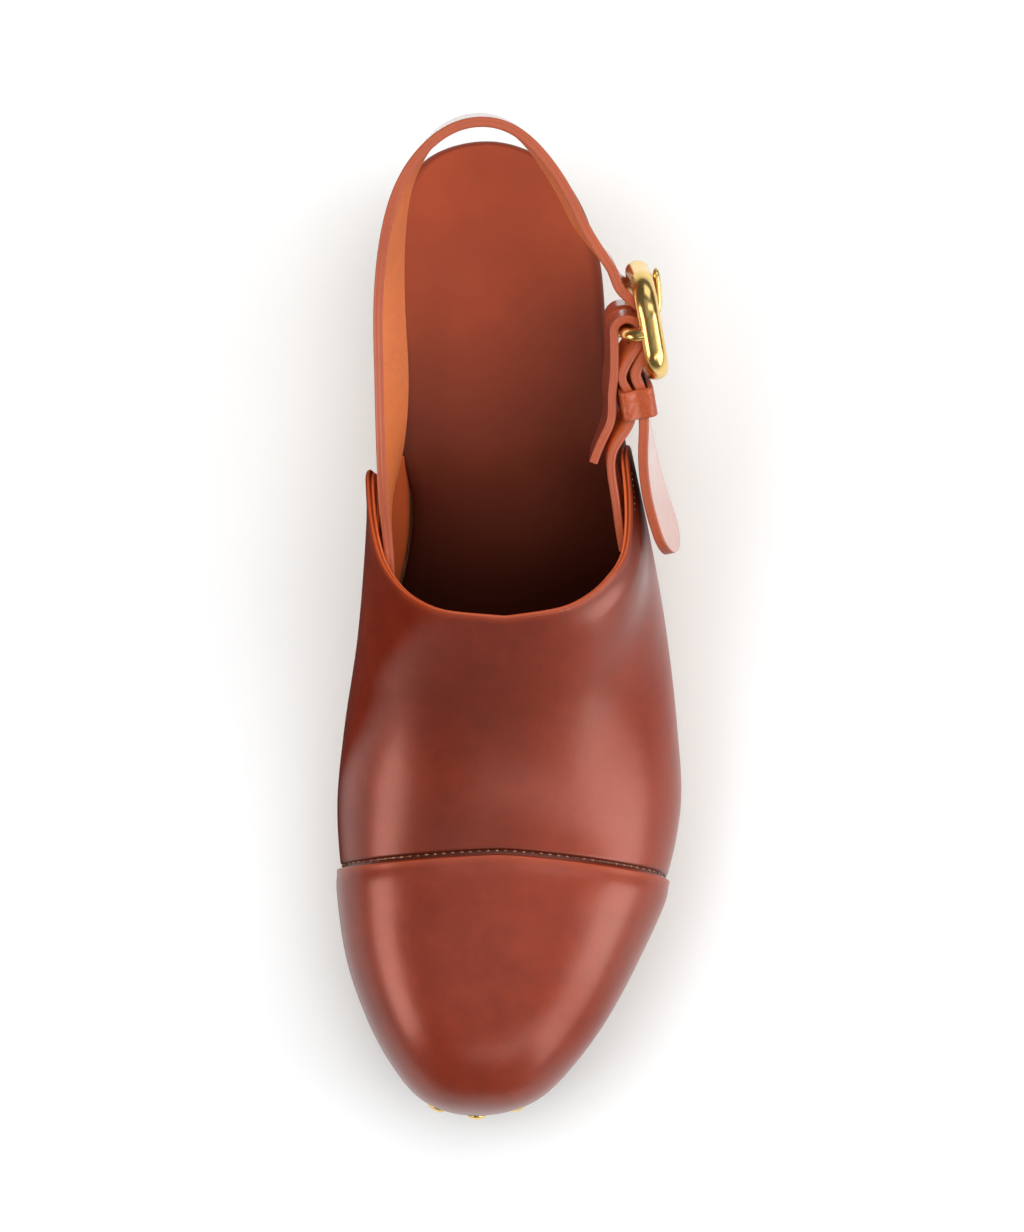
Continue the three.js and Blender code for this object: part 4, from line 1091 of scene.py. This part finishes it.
def anchorRows(rows, isMedial, thickness):
    sag = 0.5 * strapShape["width"] ** 2 / last["ballWidth"]
    depth = np.array(-(vampShape["wall"] + buckleShape["clearance"] + sag + thickness / 2))
    lines = []
    for at, up in rows:
        row = 1 - up / 180 if isMedial else up / 180
        turn = turnOf(np.array(at))
        step = -0.045 if isMedial else 0.045
        higher, lower = (footOffset(turn, np.array(row + k * step), depth) for k in (1, -1))
        lines.append((footOffset(turn, np.array(row), depth), unit(higher - lower)))
    return lines


def blurred(values, steps):  # ends are carried on straight, so that they stay where they are
    size = int(3 * steps) + 1
    weights = np.exp(-0.5 * (np.arange(-size, size + 1) / steps) ** 2)
    weights /= weights.sum()
    before = 2 * values[0] - values[size:0:-1]
    after = 2 * values[-1] - values[-2:-size - 2:-1]
    full = np.concatenate([before, values, after])
    return np.stack([np.convolve(full[:, k], weights, "valid") for k in range(3)], -1)


class StrapLine:
    step = 0.2

    def __init__(self, rows, tight, loose):  # how far the line is eased, near the bar and away from it
        curve = splineOf([place for place, _ in rows])
        ups = np.array([up for _, up in rows])
        shares = np.linspace(0, 1, 8001)
        sums = np.concatenate([[0], np.cumsum(np.linalg.norm(np.diff(curve(shares), axis=0), axis=1))])
        even = np.interp(np.linspace(0, sums[-1], int(sums[-1] / self.step) + 1), sums, shares)
        spot = even * (len(ups) - 1)
        i = np.minimum(spot.astype(int), len(ups) - 2)
        part = (spot - i)[:, None]
        places, ups = curve(even), ups[i] * (1 - part) + ups[i + 1] * part
        away = ramp(9, 22, np.linalg.norm(places - barMiddle, axis=1))[:, None]
        tight, loose = tight / self.step, loose / self.step
        self.places = blurred(places, tight) * (1 - away) + blurred(places, loose) * away
        self.ups = blurred(ups, 3 * tight) * (1 - away) + blurred(ups, 1.6 * loose) * away
        self.alongs = np.gradient(self.places, axis=0)
        self.total = sums[-1]

    def at(self, lengths):  # place, along, up and out
        spot = np.clip(np.asarray(lengths, float) / self.total, 0, 1) * (len(self.places) - 1)
        i = np.minimum(spot.astype(int), len(self.places) - 2)
        part = (spot - i)[:, None]
        place, along, up = (v[i] * (1 - part) + v[i + 1] * part for v in (self.places, self.alongs, self.ups))
        along = unit(along)
        up = unit(up - (up * along).sum(-1, keepdims=True) * along)
        return place, along, up, np.cross(along, up)

    def near(self, place, steps=6000):
        lengths = np.linspace(0, self.total, steps + 1)
        return lengths[np.argmin(np.linalg.norm(self.at(lengths)[0] - place, axis=1))]


def buckleAxes():
    yaw, slope, lean = (math.radians(buckleShape[name]) for name in ("yaw", "slope", "lean"))
    along = np.array([math.sin(yaw) * math.cos(slope), -math.cos(yaw) * math.cos(slope), -math.sin(slope)])
    level = leftOf(along)
    upright = np.cross(along, level)
    up = upright * math.cos(lean) + level * math.sin(lean)
    return along, up, level * math.cos(lean) - upright * math.sin(lean)


buckleAlong, buckleUp, buckleOut = buckleAxes()
barMiddle = strapPlace(*buckleShape["spot"])


def inBuckle(along, up, out):
    places = np.multiply.outer(np.asarray(along, float), buckleAlong)
    return barMiddle + places + np.multiply.outer(up, buckleUp) + np.multiply.outer(out, buckleOut)


loopRadius = buckleShape["bar"] + buckleShape["loop"] + strapShape["ownThickness"] / 2
bothHalf = (strapShape["ownThickness"] + strapShape["thickness"]) / 2
strapOver = loopRadius + bothHalf + buckleShape["stack"]
frameUnder = buckleShape["drop"] - buckleShape["depth"] / 2
strapUnder = frameUnder - buckleShape["clearance"] - strapShape["thickness"] / 2
legUnder = strapUnder - bothHalf - buckleShape["stack"]


def overRows(rows, low, high, plumb=0.0):  # the leather stands up straighter away from the frame
    lines = []
    for a, o in rows:
        share = plumb * ramp(0.6, 0.95, a)
        lines.append((inBuckle(a * buckleShape["length"], 0, low + (high - low) * o),
                      unit(buckleUp * (1 - share) + np.array([0, 0, 1]) * share)))
    return lines


sling = StrapLine(anchorRows(slingAnchor, True, strapShape["thickness"]) + spaceRows(slingRows)
                  + overRows(throughRows, strapUnder, strapOver) + spaceRows(tailRows), 0.9, 5.0)
loopAngles = [math.radians(-80 - 200 * i / 6) for i in range(7)]
loopLine = [(inBuckle(loopRadius * math.cos(a), 0, loopRadius * math.sin(a)), buckleUp) for a in loopAngles]
own = StrapLine(overRows(innerLegRows, 0, buckleShape["drop"], 0.8) + loopLine
                + overRows(outerLegRows, legUnder, loopRadius)
                + anchorRows(ownAnchor, False, strapShape["ownThickness"]), 0.5, 3.0)


def bandMesh(name, line, stations, width, thickness, lines, widthShare, holes, isCut, tail=(1000, 1001)):
    high, thick, ease = width / 2, thickness / 2, strapShape["ease"]
    corner = [(high - ease + ease * math.cos(a), thick - ease + ease * math.sin(a))
              for a in np.linspace(0, math.pi / 2, 5)]
    rim = [(high - strapShape["layerLine"], 0.02), (high, 0.12)] + corner
    half = rim + [(u, thick) for u in lines[1:-1]] + [(-u, v) for u, v in rim[::-1]]
    loop = np.array(half + [(u, -v) for u, v in half[::-1]])
    count, rows = len(loop), len(stations)
    s, u = np.meshgrid(stations, loop[:, 0], indexing="ij")
    across = u * widthShare(stations)[:, None]
    ring = np.zeros(s.shape)
    for middle, radius, block, reach in holes:
        ds, far = s - middle, np.maximum(np.abs(s - middle), np.abs(u))
        true = np.maximum(np.hypot(ds, u), 1e-6)
        round_ = (radius + np.maximum(far - block, block * -0.9)) / true
        blend = np.clip((far - block) / (reach - block), 0, 1)
        scale = np.where(far < reach, round_ * (1 - blend) + blend, 1)
        across = across * scale
        s = middle + ds * scale
        ring = np.maximum(ring, np.where(far < block + 0.3, 0.8, 0))
    place, _, up, out = (v.reshape(rows, count, 3) for v in line.at(s.ravel()))
    points = place + up * across[..., None] + out * loop[None, :, 1:]
    cellS = (stations[1:] + stations[:-1])[:, None] / 2
    cellU = (loop[1:, 0] + loop[:-1, 0])[None, : len(half) - 1] / 2
    cut = isCut(cellS, cellU) & (np.abs(loop[: len(half) - 1, 1]) > thick - 1e-6)[None, :]
    kept = np.ones((rows - 1, count), bool)
    kept[:, : len(half) - 1] &= ~cut
    kept[:, count - 1 - np.arange(1, len(half))] &= ~cut
    faces = [gridFaces(rows, count, wrapColumns=True)[kept.ravel()]]
    faces += endStrips(count, rows)
    walls = []
    for i, j in np.argwhere(cut):
        corners = [(i, j), (i + 1, j), (i + 1, j + 1), (i, j + 1)]
        beside = [(i, j - 1), (i + 1, j), (i, j + 1), (i - 1, j)]
        for k in range(4):
            if not cut[beside[k]]:
                (a, p), (b, q) = corners[k], corners[(k + 1) % 4]
                farSide = [b * count + count - 1 - q, a * count + count - 1 - p]
                walls.append([a * count + p, b * count + q] + farSide)
    if walls:
        faces.append(np.array(walls))
    onRim = np.broadcast_to((np.abs(loop[:, 0]) > high - ease * 0.8)[None, :], s.shape)
    marks = {
        "through": np.broadcast_to(-loop[None, :, 1] / thick, s.shape),
        "edge": np.maximum(onRim, ring),
        "tail": np.broadcast_to(ramp(*tail, stations)[:, None], s.shape),
    }
    return meshOf(name, points, np.concatenate(faces), marks, 50)


def slingMesh():
    shape = strapShape
    samples = 66
    start = sling.near(inBuckle(0, 0, strapOver), samples)
    places = [start + (k - shape["holesBehind"]) * shape["holePitch"] for k in range(shape["holes"])
              if k != shape["holesBehind"]]
    prong = sling.near(inBuckle(-0.7, 0, strapOver))
    block, reach = 2.0, 3.5
    holes = [(middle, shape["hole"], block, reach) for middle in places]
    holes.append((prong, shape["prongHole"], block, reach))
    print("stage: holes of the heel strap at", np.round(places, 1), "prong's at", round(prong, 1))
    windows = sorted(middle for middle, *_ in holes)
    stations = [np.linspace(0, windows[0] - reach, int(windows[0] / 0.8))]
    for i, middle in enumerate(windows):
        stations.append(np.linspace(middle - reach, middle + reach, 15))
        if i + 1 < len(windows):
            gap = windows[i + 1] - middle - 2 * reach
            stations.append(np.linspace(middle + reach, windows[i + 1] - reach, max(2, int(gap / 0.7) + 1)))
    tab = sling.total - shape["tab"]
    stations.append(np.linspace(windows[-1] + reach, tab, int((tab - windows[-1]) / 0.8)))
    stations.append(tab + shape["tab"] * np.sin(np.linspace(0, math.pi / 2 - 0.03, 26)))
    stations = np.unique(np.round(np.concatenate(stations), 6))
    top = shape["width"] / 2 - shape["ease"]
    lines = np.concatenate([np.linspace(top, reach, 8)[:-1], np.linspace(reach, -reach, 15),
                            np.linspace(-reach, -top, 8)[1:]])

    def share(length):
        inTab = np.maximum(0, length - tab) / shape["tab"]
        return np.sqrt(np.maximum(0.0004, 1 - inTab**2.3))

    def isCut(length, across):
        cut = np.zeros(np.broadcast(length, across).shape, bool)
        for middle, *_ in holes:
            cut |= (np.abs(length - middle) < block) & (np.abs(across) < block)
        return cut

    return bandMesh("slingStrap", sling, stations, shape["width"], shape["thickness"], lines, share, holes,
                    isCut, (tab - 34, tab - 16))


def ownMesh():
    shape = strapShape
    slot = buckleShape["eye"] / 2 + buckleShape["clearance"]
    stations = np.linspace(0, own.total, int(own.total / 0.45))
    top = shape["ownWidth"] / 2 - shape["ease"]
    lines = np.concatenate([np.linspace(top, slot, 14)[:-1], np.linspace(slot, -slot, 7),
                            np.linspace(-slot, -top, 14)[1:]])

    def isCut(length, across):
        places = own.at(length.ravel())[0].reshape(length.shape + (3,))
        near = np.linalg.norm(places - barMiddle, axis=-1) < loopRadius + shape["ownThickness"]
        return near & (np.abs(across) < slot)

    return bandMesh("ownStrap", own, stations, shape["ownWidth"], shape["ownThickness"], lines,
                    np.ones_like, [], isCut)


addPiece("slingStrap", slingMesh(), strapFinish, "strap_leather", "heel_strap")
addPiece("ownStrap", ownMesh(), strapFinish, "strap_leather", "buckle_strap")

# Keeper, buckle frame and prong

def roundedPath(reach, height, corner, cornerSteps, sideSteps):  # points and normals of a rounded rectangle
    points, normals = [], []
    middles = [(1, 1), (-1, 1), (-1, -1), (1, -1)]
    for k, (a, b) in enumerate(middles):
        middle = np.array([a * (reach - corner), b * (height - corner)])
        angles = np.radians(k * 90 + np.linspace(0, 90, cornerSteps + 1))
        normal = np.stack([np.cos(angles), np.sin(angles)], -1)
        points.append(middle + corner * normal)
        normals.append(normal)
        a, b = middles[(k + 1) % 4]
        there = np.array([a * (reach - corner), b * (height - corner)]) + corner * normal[-1]
        share = np.linspace(0, 1, sideSteps + 1)[1:-1, None]
        points.append(points[-1][-1] * (1 - share) + there * share)
        normals.append(np.broadcast_to(normal[-1], (sideSteps - 1, 2)))
    return np.concatenate(points), np.concatenate(normals)



def together(name, parts):
    points, faces, start = [], [], 0
    for grid, quads in parts:
        points.append(grid.reshape(-1, 3))
        faces.append(outward(points[-1], quads) + start)
        start += len(points[-1])
    return meshOf(name, np.concatenate(points), np.concatenate(faces))


def rodPart(line, radius, sides, upright):  # a rod along a line, its ends closed
    share = np.linspace(0, 1, len(radius))
    curve = splineOf(line)
    place = curve(share)
    along = unit(curve(np.minimum(share + 1e-3, 1)) - curve(np.maximum(share - 1e-3, 0)))
    across = unit(np.cross(along, upright))
    over = np.cross(across, along)
    turn = (np.arange(sides) + 0.5) * 2 * math.pi / sides
    ring = across[:, None] * np.cos(turn)[None, :, None] + over[:, None] * np.sin(turn)[None, :, None]
    grid = place[:, None] + ring * np.array(radius)[:, None, None]
    faces = [gridFaces(len(radius), sides, wrapColumns=True), *endStrips(sides, len(radius))]
    return grid, np.concatenate(faces)


keeperShape = {
    "length": 7.6,
    "wall": 1.3,
    "along": 0.655,  # its middle, from the bar, as a share of the frame's length
    "corner": 1.15,
    "round": 0.35,
    "dip": 0.55,  # drawn in between the two straps
    "dipWidth": 1.5,
}


def keeperMesh():
    shape = keeperShape
    inside = legUnder - strapShape["ownThickness"] / 2 - 2 * buckleShape["clearance"]
    outside = strapUnder + strapShape["thickness"] / 2 + buckleShape["clearance"]
    middle = (inside + outside) / 2
    reach = (outside - inside) / 2 + shape["wall"] / 2
    height = strapShape["width"] / 2 + buckleShape["clearance"] + shape["wall"] / 2
    path, normal = roundedPath(reach, height, shape["corner"], 10, 24)
    between = legUnder + strapShape["ownThickness"] / 2 + buckleShape["stack"] / 2 - middle
    onSide = np.abs(normal[:, 1]) > 0.99
    dip = shape["dip"] * np.exp(-((path[:, 0] - between) / shape["dipWidth"]) ** 2) * onSide
    section, _ = roundedPath(shape["wall"] / 2, shape["length"] / 2, shape["round"], 4, 10)
    out = path[:, None, 0] + normal[:, None, 0] * section[None, :, 0]
    up = path[:, None, 1] + (normal[:, None, 1] * section[None, :, 0]) - np.sign(path[:, 1:]) * dip[:, None]
    edge = np.broadcast_to(section[None, :, 1], out.shape)
    grid = inBuckle(edge + shape["along"] * buckleShape["length"], up, out + middle)
    faces = gridFaces(len(path), len(section), wrapRows=True, wrapColumns=True)
    marks = {
        "through": np.broadcast_to(section[None, :, 0] / (shape["wall"] / 2), out.shape),
        "edge": np.abs(edge) > shape["length"] / 2 - 0.2,
    }
    return meshOf("keeper", grid, faces, marks, 60)


def buckleMesh():
    shape = buckleShape
    path, normal = roundedPath((shape["length"] - shape["band"]) / 2, (shape["height"] - shape["band"]) / 2,
                               shape["corner"] - shape["band"] / 2, 22, 12)
    turn = np.arange(36) * 2 * math.pi / 36
    flat = shape["band"] / 2 * np.cos(turn)
    along = path[:, None, 0] + normal[:, None, 0] * flat
    up = path[:, None, 1] + normal[:, None, 1] * flat
    out = shape["drop"] + shape["depth"] / 2 * np.sin(turn)
    frameGrid = inBuckle(along, up, np.broadcast_to(out, along.shape))
    height, bend = (shape["height"] - shape["band"]) / 2, shape["barBend"]
    line = [(height, shape["drop"]), (height, bend), (height - bend * 0.35, bend * 0.35), (height - bend, 0)]
    line += [(0, 0)] + [(-u, o) for u, o in line[::-1]]
    bar = rodPart([inBuckle(0, u, o) for u, o in line], np.full(90, shape["bar"]), 24, buckleAlong)
    return together("frame", [(frameGrid, gridFaces(*along.shape, wrapRows=True, wrapColumns=True)), bar])


def prongMesh():
    shape = buckleShape
    reach = shape["length"] / 2 - shape["prongShort"]
    out = shape["drop"] + shape["depth"] / 2 + shape["prong"] + shape["clearance"]
    drop = shape["drop"]
    line = [(0, shape["bar"] + 0.9), (0, drop - 1.4), (-0.6, drop + 1.4), (-2.4, drop + 3.1),
            (-reach * 0.5, out - 0.5), (-reach, out)]
    share = np.linspace(0, 1, 90)
    toTip = np.clip((1 - share) / 0.07, 0.02, 1)
    tip = np.sqrt(toTip * (2 - toTip))
    radius = shape["prong"] * tip * (1 - 0.15 * share)
    pin = rodPart([inBuckle(a, 0, o) for a, o in line], radius, 20, buckleUp)
    inner = shape["bar"] + shape["clearance"]
    wall = shape["eyeWall"] / 2
    section, _ = roundedPath(wall, shape["eye"] / 2, 0.5, 6, 4)
    turn = np.arange(48) * 2 * math.pi / 48
    ring = inner + wall + section[None, :, 0]
    grid = inBuckle(ring * np.cos(turn)[:, None], np.broadcast_to(section[None, :, 1], (48, len(section))),
                    ring * np.sin(turn)[:, None])
    return together("prong", [pin, (grid, gridFaces(48, len(section), wrapRows=True, wrapColumns=True))])


addPiece("keeper", keeperMesh(), keeperFinish, "strap_leather", "strap_keeper")
addPiece("buckleFrame", buckleMesh(), brassFinish, "buckle_brass", "buckle_frame")
addPiece("buckleProng", prongMesh(), brassFinish, "buckle_brass", "buckle_prong")

# Nails and stitches: one small shape set on many points with Geometry Nodes

class Repeat(Tree):
    def __init__(self, name, material, values):
        self.tree = bpy.data.node_groups.new(name, "GeometryNodeTree")
        self.tree.interface.new_socket("Geometry", in_out="OUTPUT", socket_type="NodeSocketGeometry")
        self.tree.interface.new_socket("Points", in_out="INPUT", socket_type="NodeSocketGeometry")
        self.values = {**values, "Material": material}
        kinds = {float: "NodeSocketFloat", int: "NodeSocketInt"}
        for label, value in self.values.items():
            kind = kinds.get(type(value), "NodeSocketMaterial")
            self.tree.interface.new_socket(label, in_out="INPUT", socket_type=kind)
        self.entry = self.tree.nodes.new("NodeGroupInput")
        self.exit = self.tree.nodes.new("NodeGroupOutput")

    def given(self, label):
        return Wire(self, self.entry.outputs[label])

    def stored(self, label):
        values = {"Name": label}
        return self.add("GeometryNodeInputNamedAttribute", {"data_type": "FLOAT_VECTOR"}, values, "Attribute")

    def random(self, low, high):
        values = {2: low, 3: high, "Seed": self.given("Seed")}
        return self.add("FunctionNodeRandomValue", {"data_type": "FLOAT"}, values, 1)

    def vector(self, *parts):
        return self.add("ShaderNodeCombineXYZ", values=dict(enumerate(parts)))

    def ball(self, segments, rings, shapeOf):  # a unit ball with its points moved
        values = {"Segments": segments, "Rings": rings, "Radius": 1.0}
        ball = self.add("GeometryNodeMeshUVSphere", values=values)
        apart = self.add("ShaderNodeSeparateXYZ", values={0: self.add("GeometryNodeInputPosition")})
        x, y, z = (Wire(self, socket) for socket in apart.socket.node.outputs)
        there = self.vector(*shapeOf(x, y, z))
        return self.add("GeometryNodeSetPosition", values={"Geometry": ball, "Position": there})

    def setOn(self, shape, turn, scale):
        values = {"Points": self.given("Points"), "Instance": shape, "Rotation": turn, "Scale": scale}
        placed = self.add("GeometryNodeInstanceOnPoints", values=values)
        real = self.add("GeometryNodeRealizeInstances", values={"Geometry": placed})
        smooth = self.add("GeometryNodeSetShadeSmooth", values={"Geometry": real})
        values = {"Geometry": smooth, "Material": self.given("Material")}
        done = self.add("GeometryNodeSetMaterial", values=values)
        self.tree.links.new(done.socket, self.exit.inputs[0])

    def grown(self, name, points, vectors):
        mesh = bpy.data.meshes.new(name)
        mesh.from_pydata((np.array(points) * mm).tolist(), [], [])
        for label, vector in vectors.items():
            mesh.attributes.new(label, "FLOAT_VECTOR", "POINT").data.foreach_set("vector", np.ravel(vector))
        holder = bpy.data.objects.new(name, mesh)
        bpy.context.scene.collection.objects.link(holder)
        grow = holder.modifiers.new("repeat", "NODES")
        grow.node_group = self.tree
        items = [item for item in self.tree.interface.items_tree if item.in_out == "INPUT"]
        sockets = {item.name: item.identifier for item in items}
        for label, value in self.values.items():
            grow[sockets[label]] = value
        graph = bpy.context.evaluated_depsgraph_get()
        result = holder.evaluated_get(graph)
        made = bpy.data.meshes.new_from_object(result, preserve_all_data_layers=True, depsgraph=graph)
        bpy.data.objects.remove(holder)
        return made


nailShape = {"radius": 2.5, "rise": 1.2, "pitch": 11.0, "drop": 4.6, "endSpace": 4.5, "seed": 3,
             "medial": 0.352, "lateral": 0.328}  # where the row of nails ends, along the last


def nailPlaces():
    shape = nailShape
    walk = np.linspace(-turnOf(shape["medial"]), turnOf(shape["lateral"]) - 2 * math.pi, 601)
    walk = np.where(walk < -math.pi, walk + 2 * math.pi, walk)
    gap = soleShape["clearance"]
    reach = gap + underCap(walk) * (capShape["thickness"] + gap)
    normals = edgeNormal(walk)
    plan = edgePoint(walk) + normals * reach[:, None]
    sums = np.concatenate([[0], np.cumsum(np.linalg.norm(np.diff(plan, axis=0), axis=1))])
    run = sums[-1] - 2 * shape["endSpace"]
    count = round(run / shape["pitch"])
    picked = np.searchsorted(sums, shape["endSpace"] + run * np.arange(count + 1) / count)
    heights = seatZ(walk[picked]) - shape["drop"]
    level = np.zeros((count + 1, 1))
    return np.concatenate([plan[picked], heights[:, None]], 1), np.concatenate([normals[picked], level], 1)


nailSizes = {"Radius": nailShape["radius"] * mm, "Rise": nailShape["rise"] * mm, "Seed": nailShape["seed"]}
nailTree = Repeat("roundNails", brassFinish, nailSizes)
wide, rise = nailTree.given("Radius"), nailTree.given("Rise")
dome = nailTree.ball(28, 16, lambda x, y, z: (x * wide, y * wide, z.maths("MAXIMUM", z, 0.0) * rise))
facing = nailTree.stored("facing")
upTurn = nailTree.add("FunctionNodeAlignRotationToVector", {"axis": "Z"}, {"Vector": facing})
nailSize = nailTree.random(0.97, 1.03)
nailTree.setOn(dome, upTurn, nailTree.vector(nailSize, nailSize, nailSize))
nailSpots, nailFacings = nailPlaces()
nailNodes = [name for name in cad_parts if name.startswith("nail_")]
print("stage:", len(nailSpots), "nails set out for", len(nailNodes), "in the part")
nailMesh = nailTree.grown("nails", nailSpots, {"facing": nailFacings})
addPiece("nails", nailMesh, brassFinish, "nail_brass", *nailNodes)

stitchShape = {
    "pitch": 2.3,
    "long": 1.05,
    "wide": 0.5,
    "high": 0.5,
    "seed": 11,
    "edgePitch": 1.5,  # of the row along the vamp's outer rear edge
    "edgeIn": 2.3,
    "corner": (27.0, 44.0),  # degrees up the section, from and to
}


def alongCurve(points, pitch):  # even places on a line: which points, and the directions there
    sums = np.concatenate([[0], np.cumsum(np.linalg.norm(np.diff(points, axis=0), axis=1))])
    count = max(1, round(sums[-1] / pitch))
    lengths = (np.arange(count) + 0.5) * sums[-1] / count
    picked = np.searchsorted(sums, lengths)
    picked = np.clip(picked, 1, len(points) - 1)
    return picked, unit(points[picked] - points[picked - 1])


def seamStitches(rows, turns, offset, pitch):
    points = footOffset(turns, rows, np.full(rows.shape, offset))
    picked, headings = alongCurve(points, pitch)
    return points[picked], headings, footNormal(turns[picked], rows[picked])


def allStitches():
    rows = np.linspace(0.03, 0.97, 1500)
    seam = capStart(rows)
    behind = vampShape["grooveBehind"] / alongSpeed(seam)
    sets = [seamStitches(rows, seam - behind, -vampShape["grooveDepth"] + 0.16, stitchShape["pitch"])]
    rows = np.linspace(*stitchShape["corner"], 300) / 180
    start = upperStart(rows)
    beside = start + stitchShape["edgeIn"] / alongSpeed(start)
    sets.append(seamStitches(rows, beside, 0.02, stitchShape["edgePitch"]))
    return [np.concatenate(group) for group in zip(*sets)]


stitchSizes = {name.capitalize(): stitchShape[name] * mm for name in ("long", "wide", "high")}
stitchTree = Repeat("stitches", threadFinish, {**stitchSizes, "Seed": stitchShape["seed"]})
longHalf, wideHalf, highHalf = (stitchTree.given(name) * 0.5 for name in ("Long", "Wide", "High"))
thread = stitchTree.ball(12, 8, lambda x, y, z: (
    x * longHalf, y * wideHalf, z * highHalf - x * x * highHalf * 0.8))  # its ends bent down into the leather
axes = {"primary_axis": "Z", "secondary_axis": "X"}
headings = {"Primary Axis": stitchTree.stored("facing"), "Secondary Axis": stitchTree.stored("heading")}
stitchTurn = stitchTree.add("FunctionNodeAxesToRotation", axes, headings)
stitchTree.setOn(thread, stitchTurn, stitchTree.vector(stitchTree.random(0.82, 1.12), 1.0, 1.0))
stitchSpots, stitchHeadings, stitchFacings = allStitches()
stitchMesh = stitchTree.grown("stitches", stitchSpots, {"facing": stitchFacings, "heading": stitchHeadings})
addPiece("stitches", stitchMesh, threadFinish, "upper_leather")

# Floor, light and camera

stageLook = {"floor": tone(241, 243, 244), "floorSize": 6.0, "worldStrength": 0.12}

floorMesh = bpy.data.meshes.new("floor")
half = stageLook["floorSize"] / 2
corners = [(-half, -half, 0), (half, -half, 0), (half, half, 0), (-half, half, 0)]
floorMesh.from_pydata(corners, [], [(0, 1, 2, 3)])
floor = bpy.data.objects.new("floor", floorMesh)
bpy.context.scene.collection.objects.link(floor)
paper = Finish("paper", Base_Color=stageLook["floor"], Roughness=0.9, Specular_IOR_Level=0.1)
floorMesh.materials.append(paper.material)

world = bpy.data.worlds.new("studio")
world.use_nodes = True
world.node_tree.nodes["Background"].inputs[0].default_value = (1, 1, 1, 1)
world.node_tree.nodes["Background"].inputs[1].default_value = stageLook["worldStrength"]
bpy.context.scene.world = world

# Lamps, in metres and watts: a box gives highlights only, a fill none
lamps = {
    "rightBox": {"place": (0.82, -0.69, 0.52), "aim": (0, -0.12, 0.06), "size": (0.85, 0.62), "power": 8.0},
    "frontBox": {"place": (0.42, -0.92, 0.92), "aim": (0, -0.12, 0.06), "size": (0.95, 0.24), "power": 2.0},
    "leftBox": {"place": (-0.9, -0.54, 0.54), "aim": (0, -0.12, 0.06), "size": (0.7, 0.5), "power": 7.0,
                "tint": (1, 0.72, 0.66)},
    "ridgeBox": {"place": (0.62, -0.05, 1.2), "aim": (0, -0.1, 0.06), "size": (0.45, 0.9), "power": 2.2},
    "backBox": {"place": (0.35, 0.9, 0.95), "aim": (0, -0.03, 0.1), "size": (0.9, 0.8), "power": 3.0},
    "ceiling": {"place": (0, -0.5, 2.4), "aim": (0, -0.5, 0), "size": (1.5, 2.4), "power": 3.6},
    "topFill": {"place": (0.1, 0.25, 2.3), "aim": (0, -0.1, 0), "size": (2.0, 2.0), "power": 49},
    "rightFill": {"place": (1.6, -0.05, 0.7), "aim": (0, -0.1, 0), "size": (1.2, 1.2), "power": 12},
    "leftFill": {"place": (-1.2, -0.1, 2.0), "aim": (0, -0.1, 0), "size": (1.4, 1.4), "power": 18},
}
for name, lamp in lamps.items():
    light = bpy.data.lights.new(name, "AREA")
    light.shape = "RECTANGLE"
    light.size, light.size_y = lamp["size"]
    light.energy = lamp["power"]
    light.color = lamp.get("tint", (1, 1, 1))
    holder = bpy.data.objects.new(name, light)
    bpy.context.scene.collection.objects.link(holder)
    holder.location = lamp["place"]
    away = bpy.context.scene.cursor.location.copy()
    away[:] = np.subtract(lamp["aim"], lamp["place"]).tolist()
    holder.rotation_euler = away.to_track_quat("-Z", "Y").to_euler()
    holder.visible_glossy = not name.endswith("Fill")
    holder.visible_diffuse = not name.endswith("Box")

# The photo looks straight down, from a point off to the inner side of this shoe
shot = {
    "place": (-52.3, -107.9, 1557.0),
    "focus": 57.0,  # height that the framing is worked out at
    "centre": (5.5, -86.1),
    "tall": 320.0,  # what the picture's height takes in there
    "sensor": 36.0,
}
cameraData = bpy.data.cameras.new("camera")
camera = bpy.data.objects.new("camera", cameraData)
bpy.context.scene.collection.objects.link(camera)
camera.location = [value * mm for value in shot["place"]]
toSide, toHeel, down = (np.array([*shot["centre"], shot["focus"]]) - shot["place"]).tolist()
far = math.hypot(toSide, toHeel, down)
camera.rotation_euler = (math.asin(toHeel / far), -math.atan2(toSide, -down), 0)
cameraData.sensor_width = shot["sensor"]
cameraData.lens = shot["sensor"] * far / shot["tall"]
bpy.context.scene.camera = camera
bpy.context.scene.view_settings.view_transform = "Standard"
print("stage: floor, lamps and camera set")
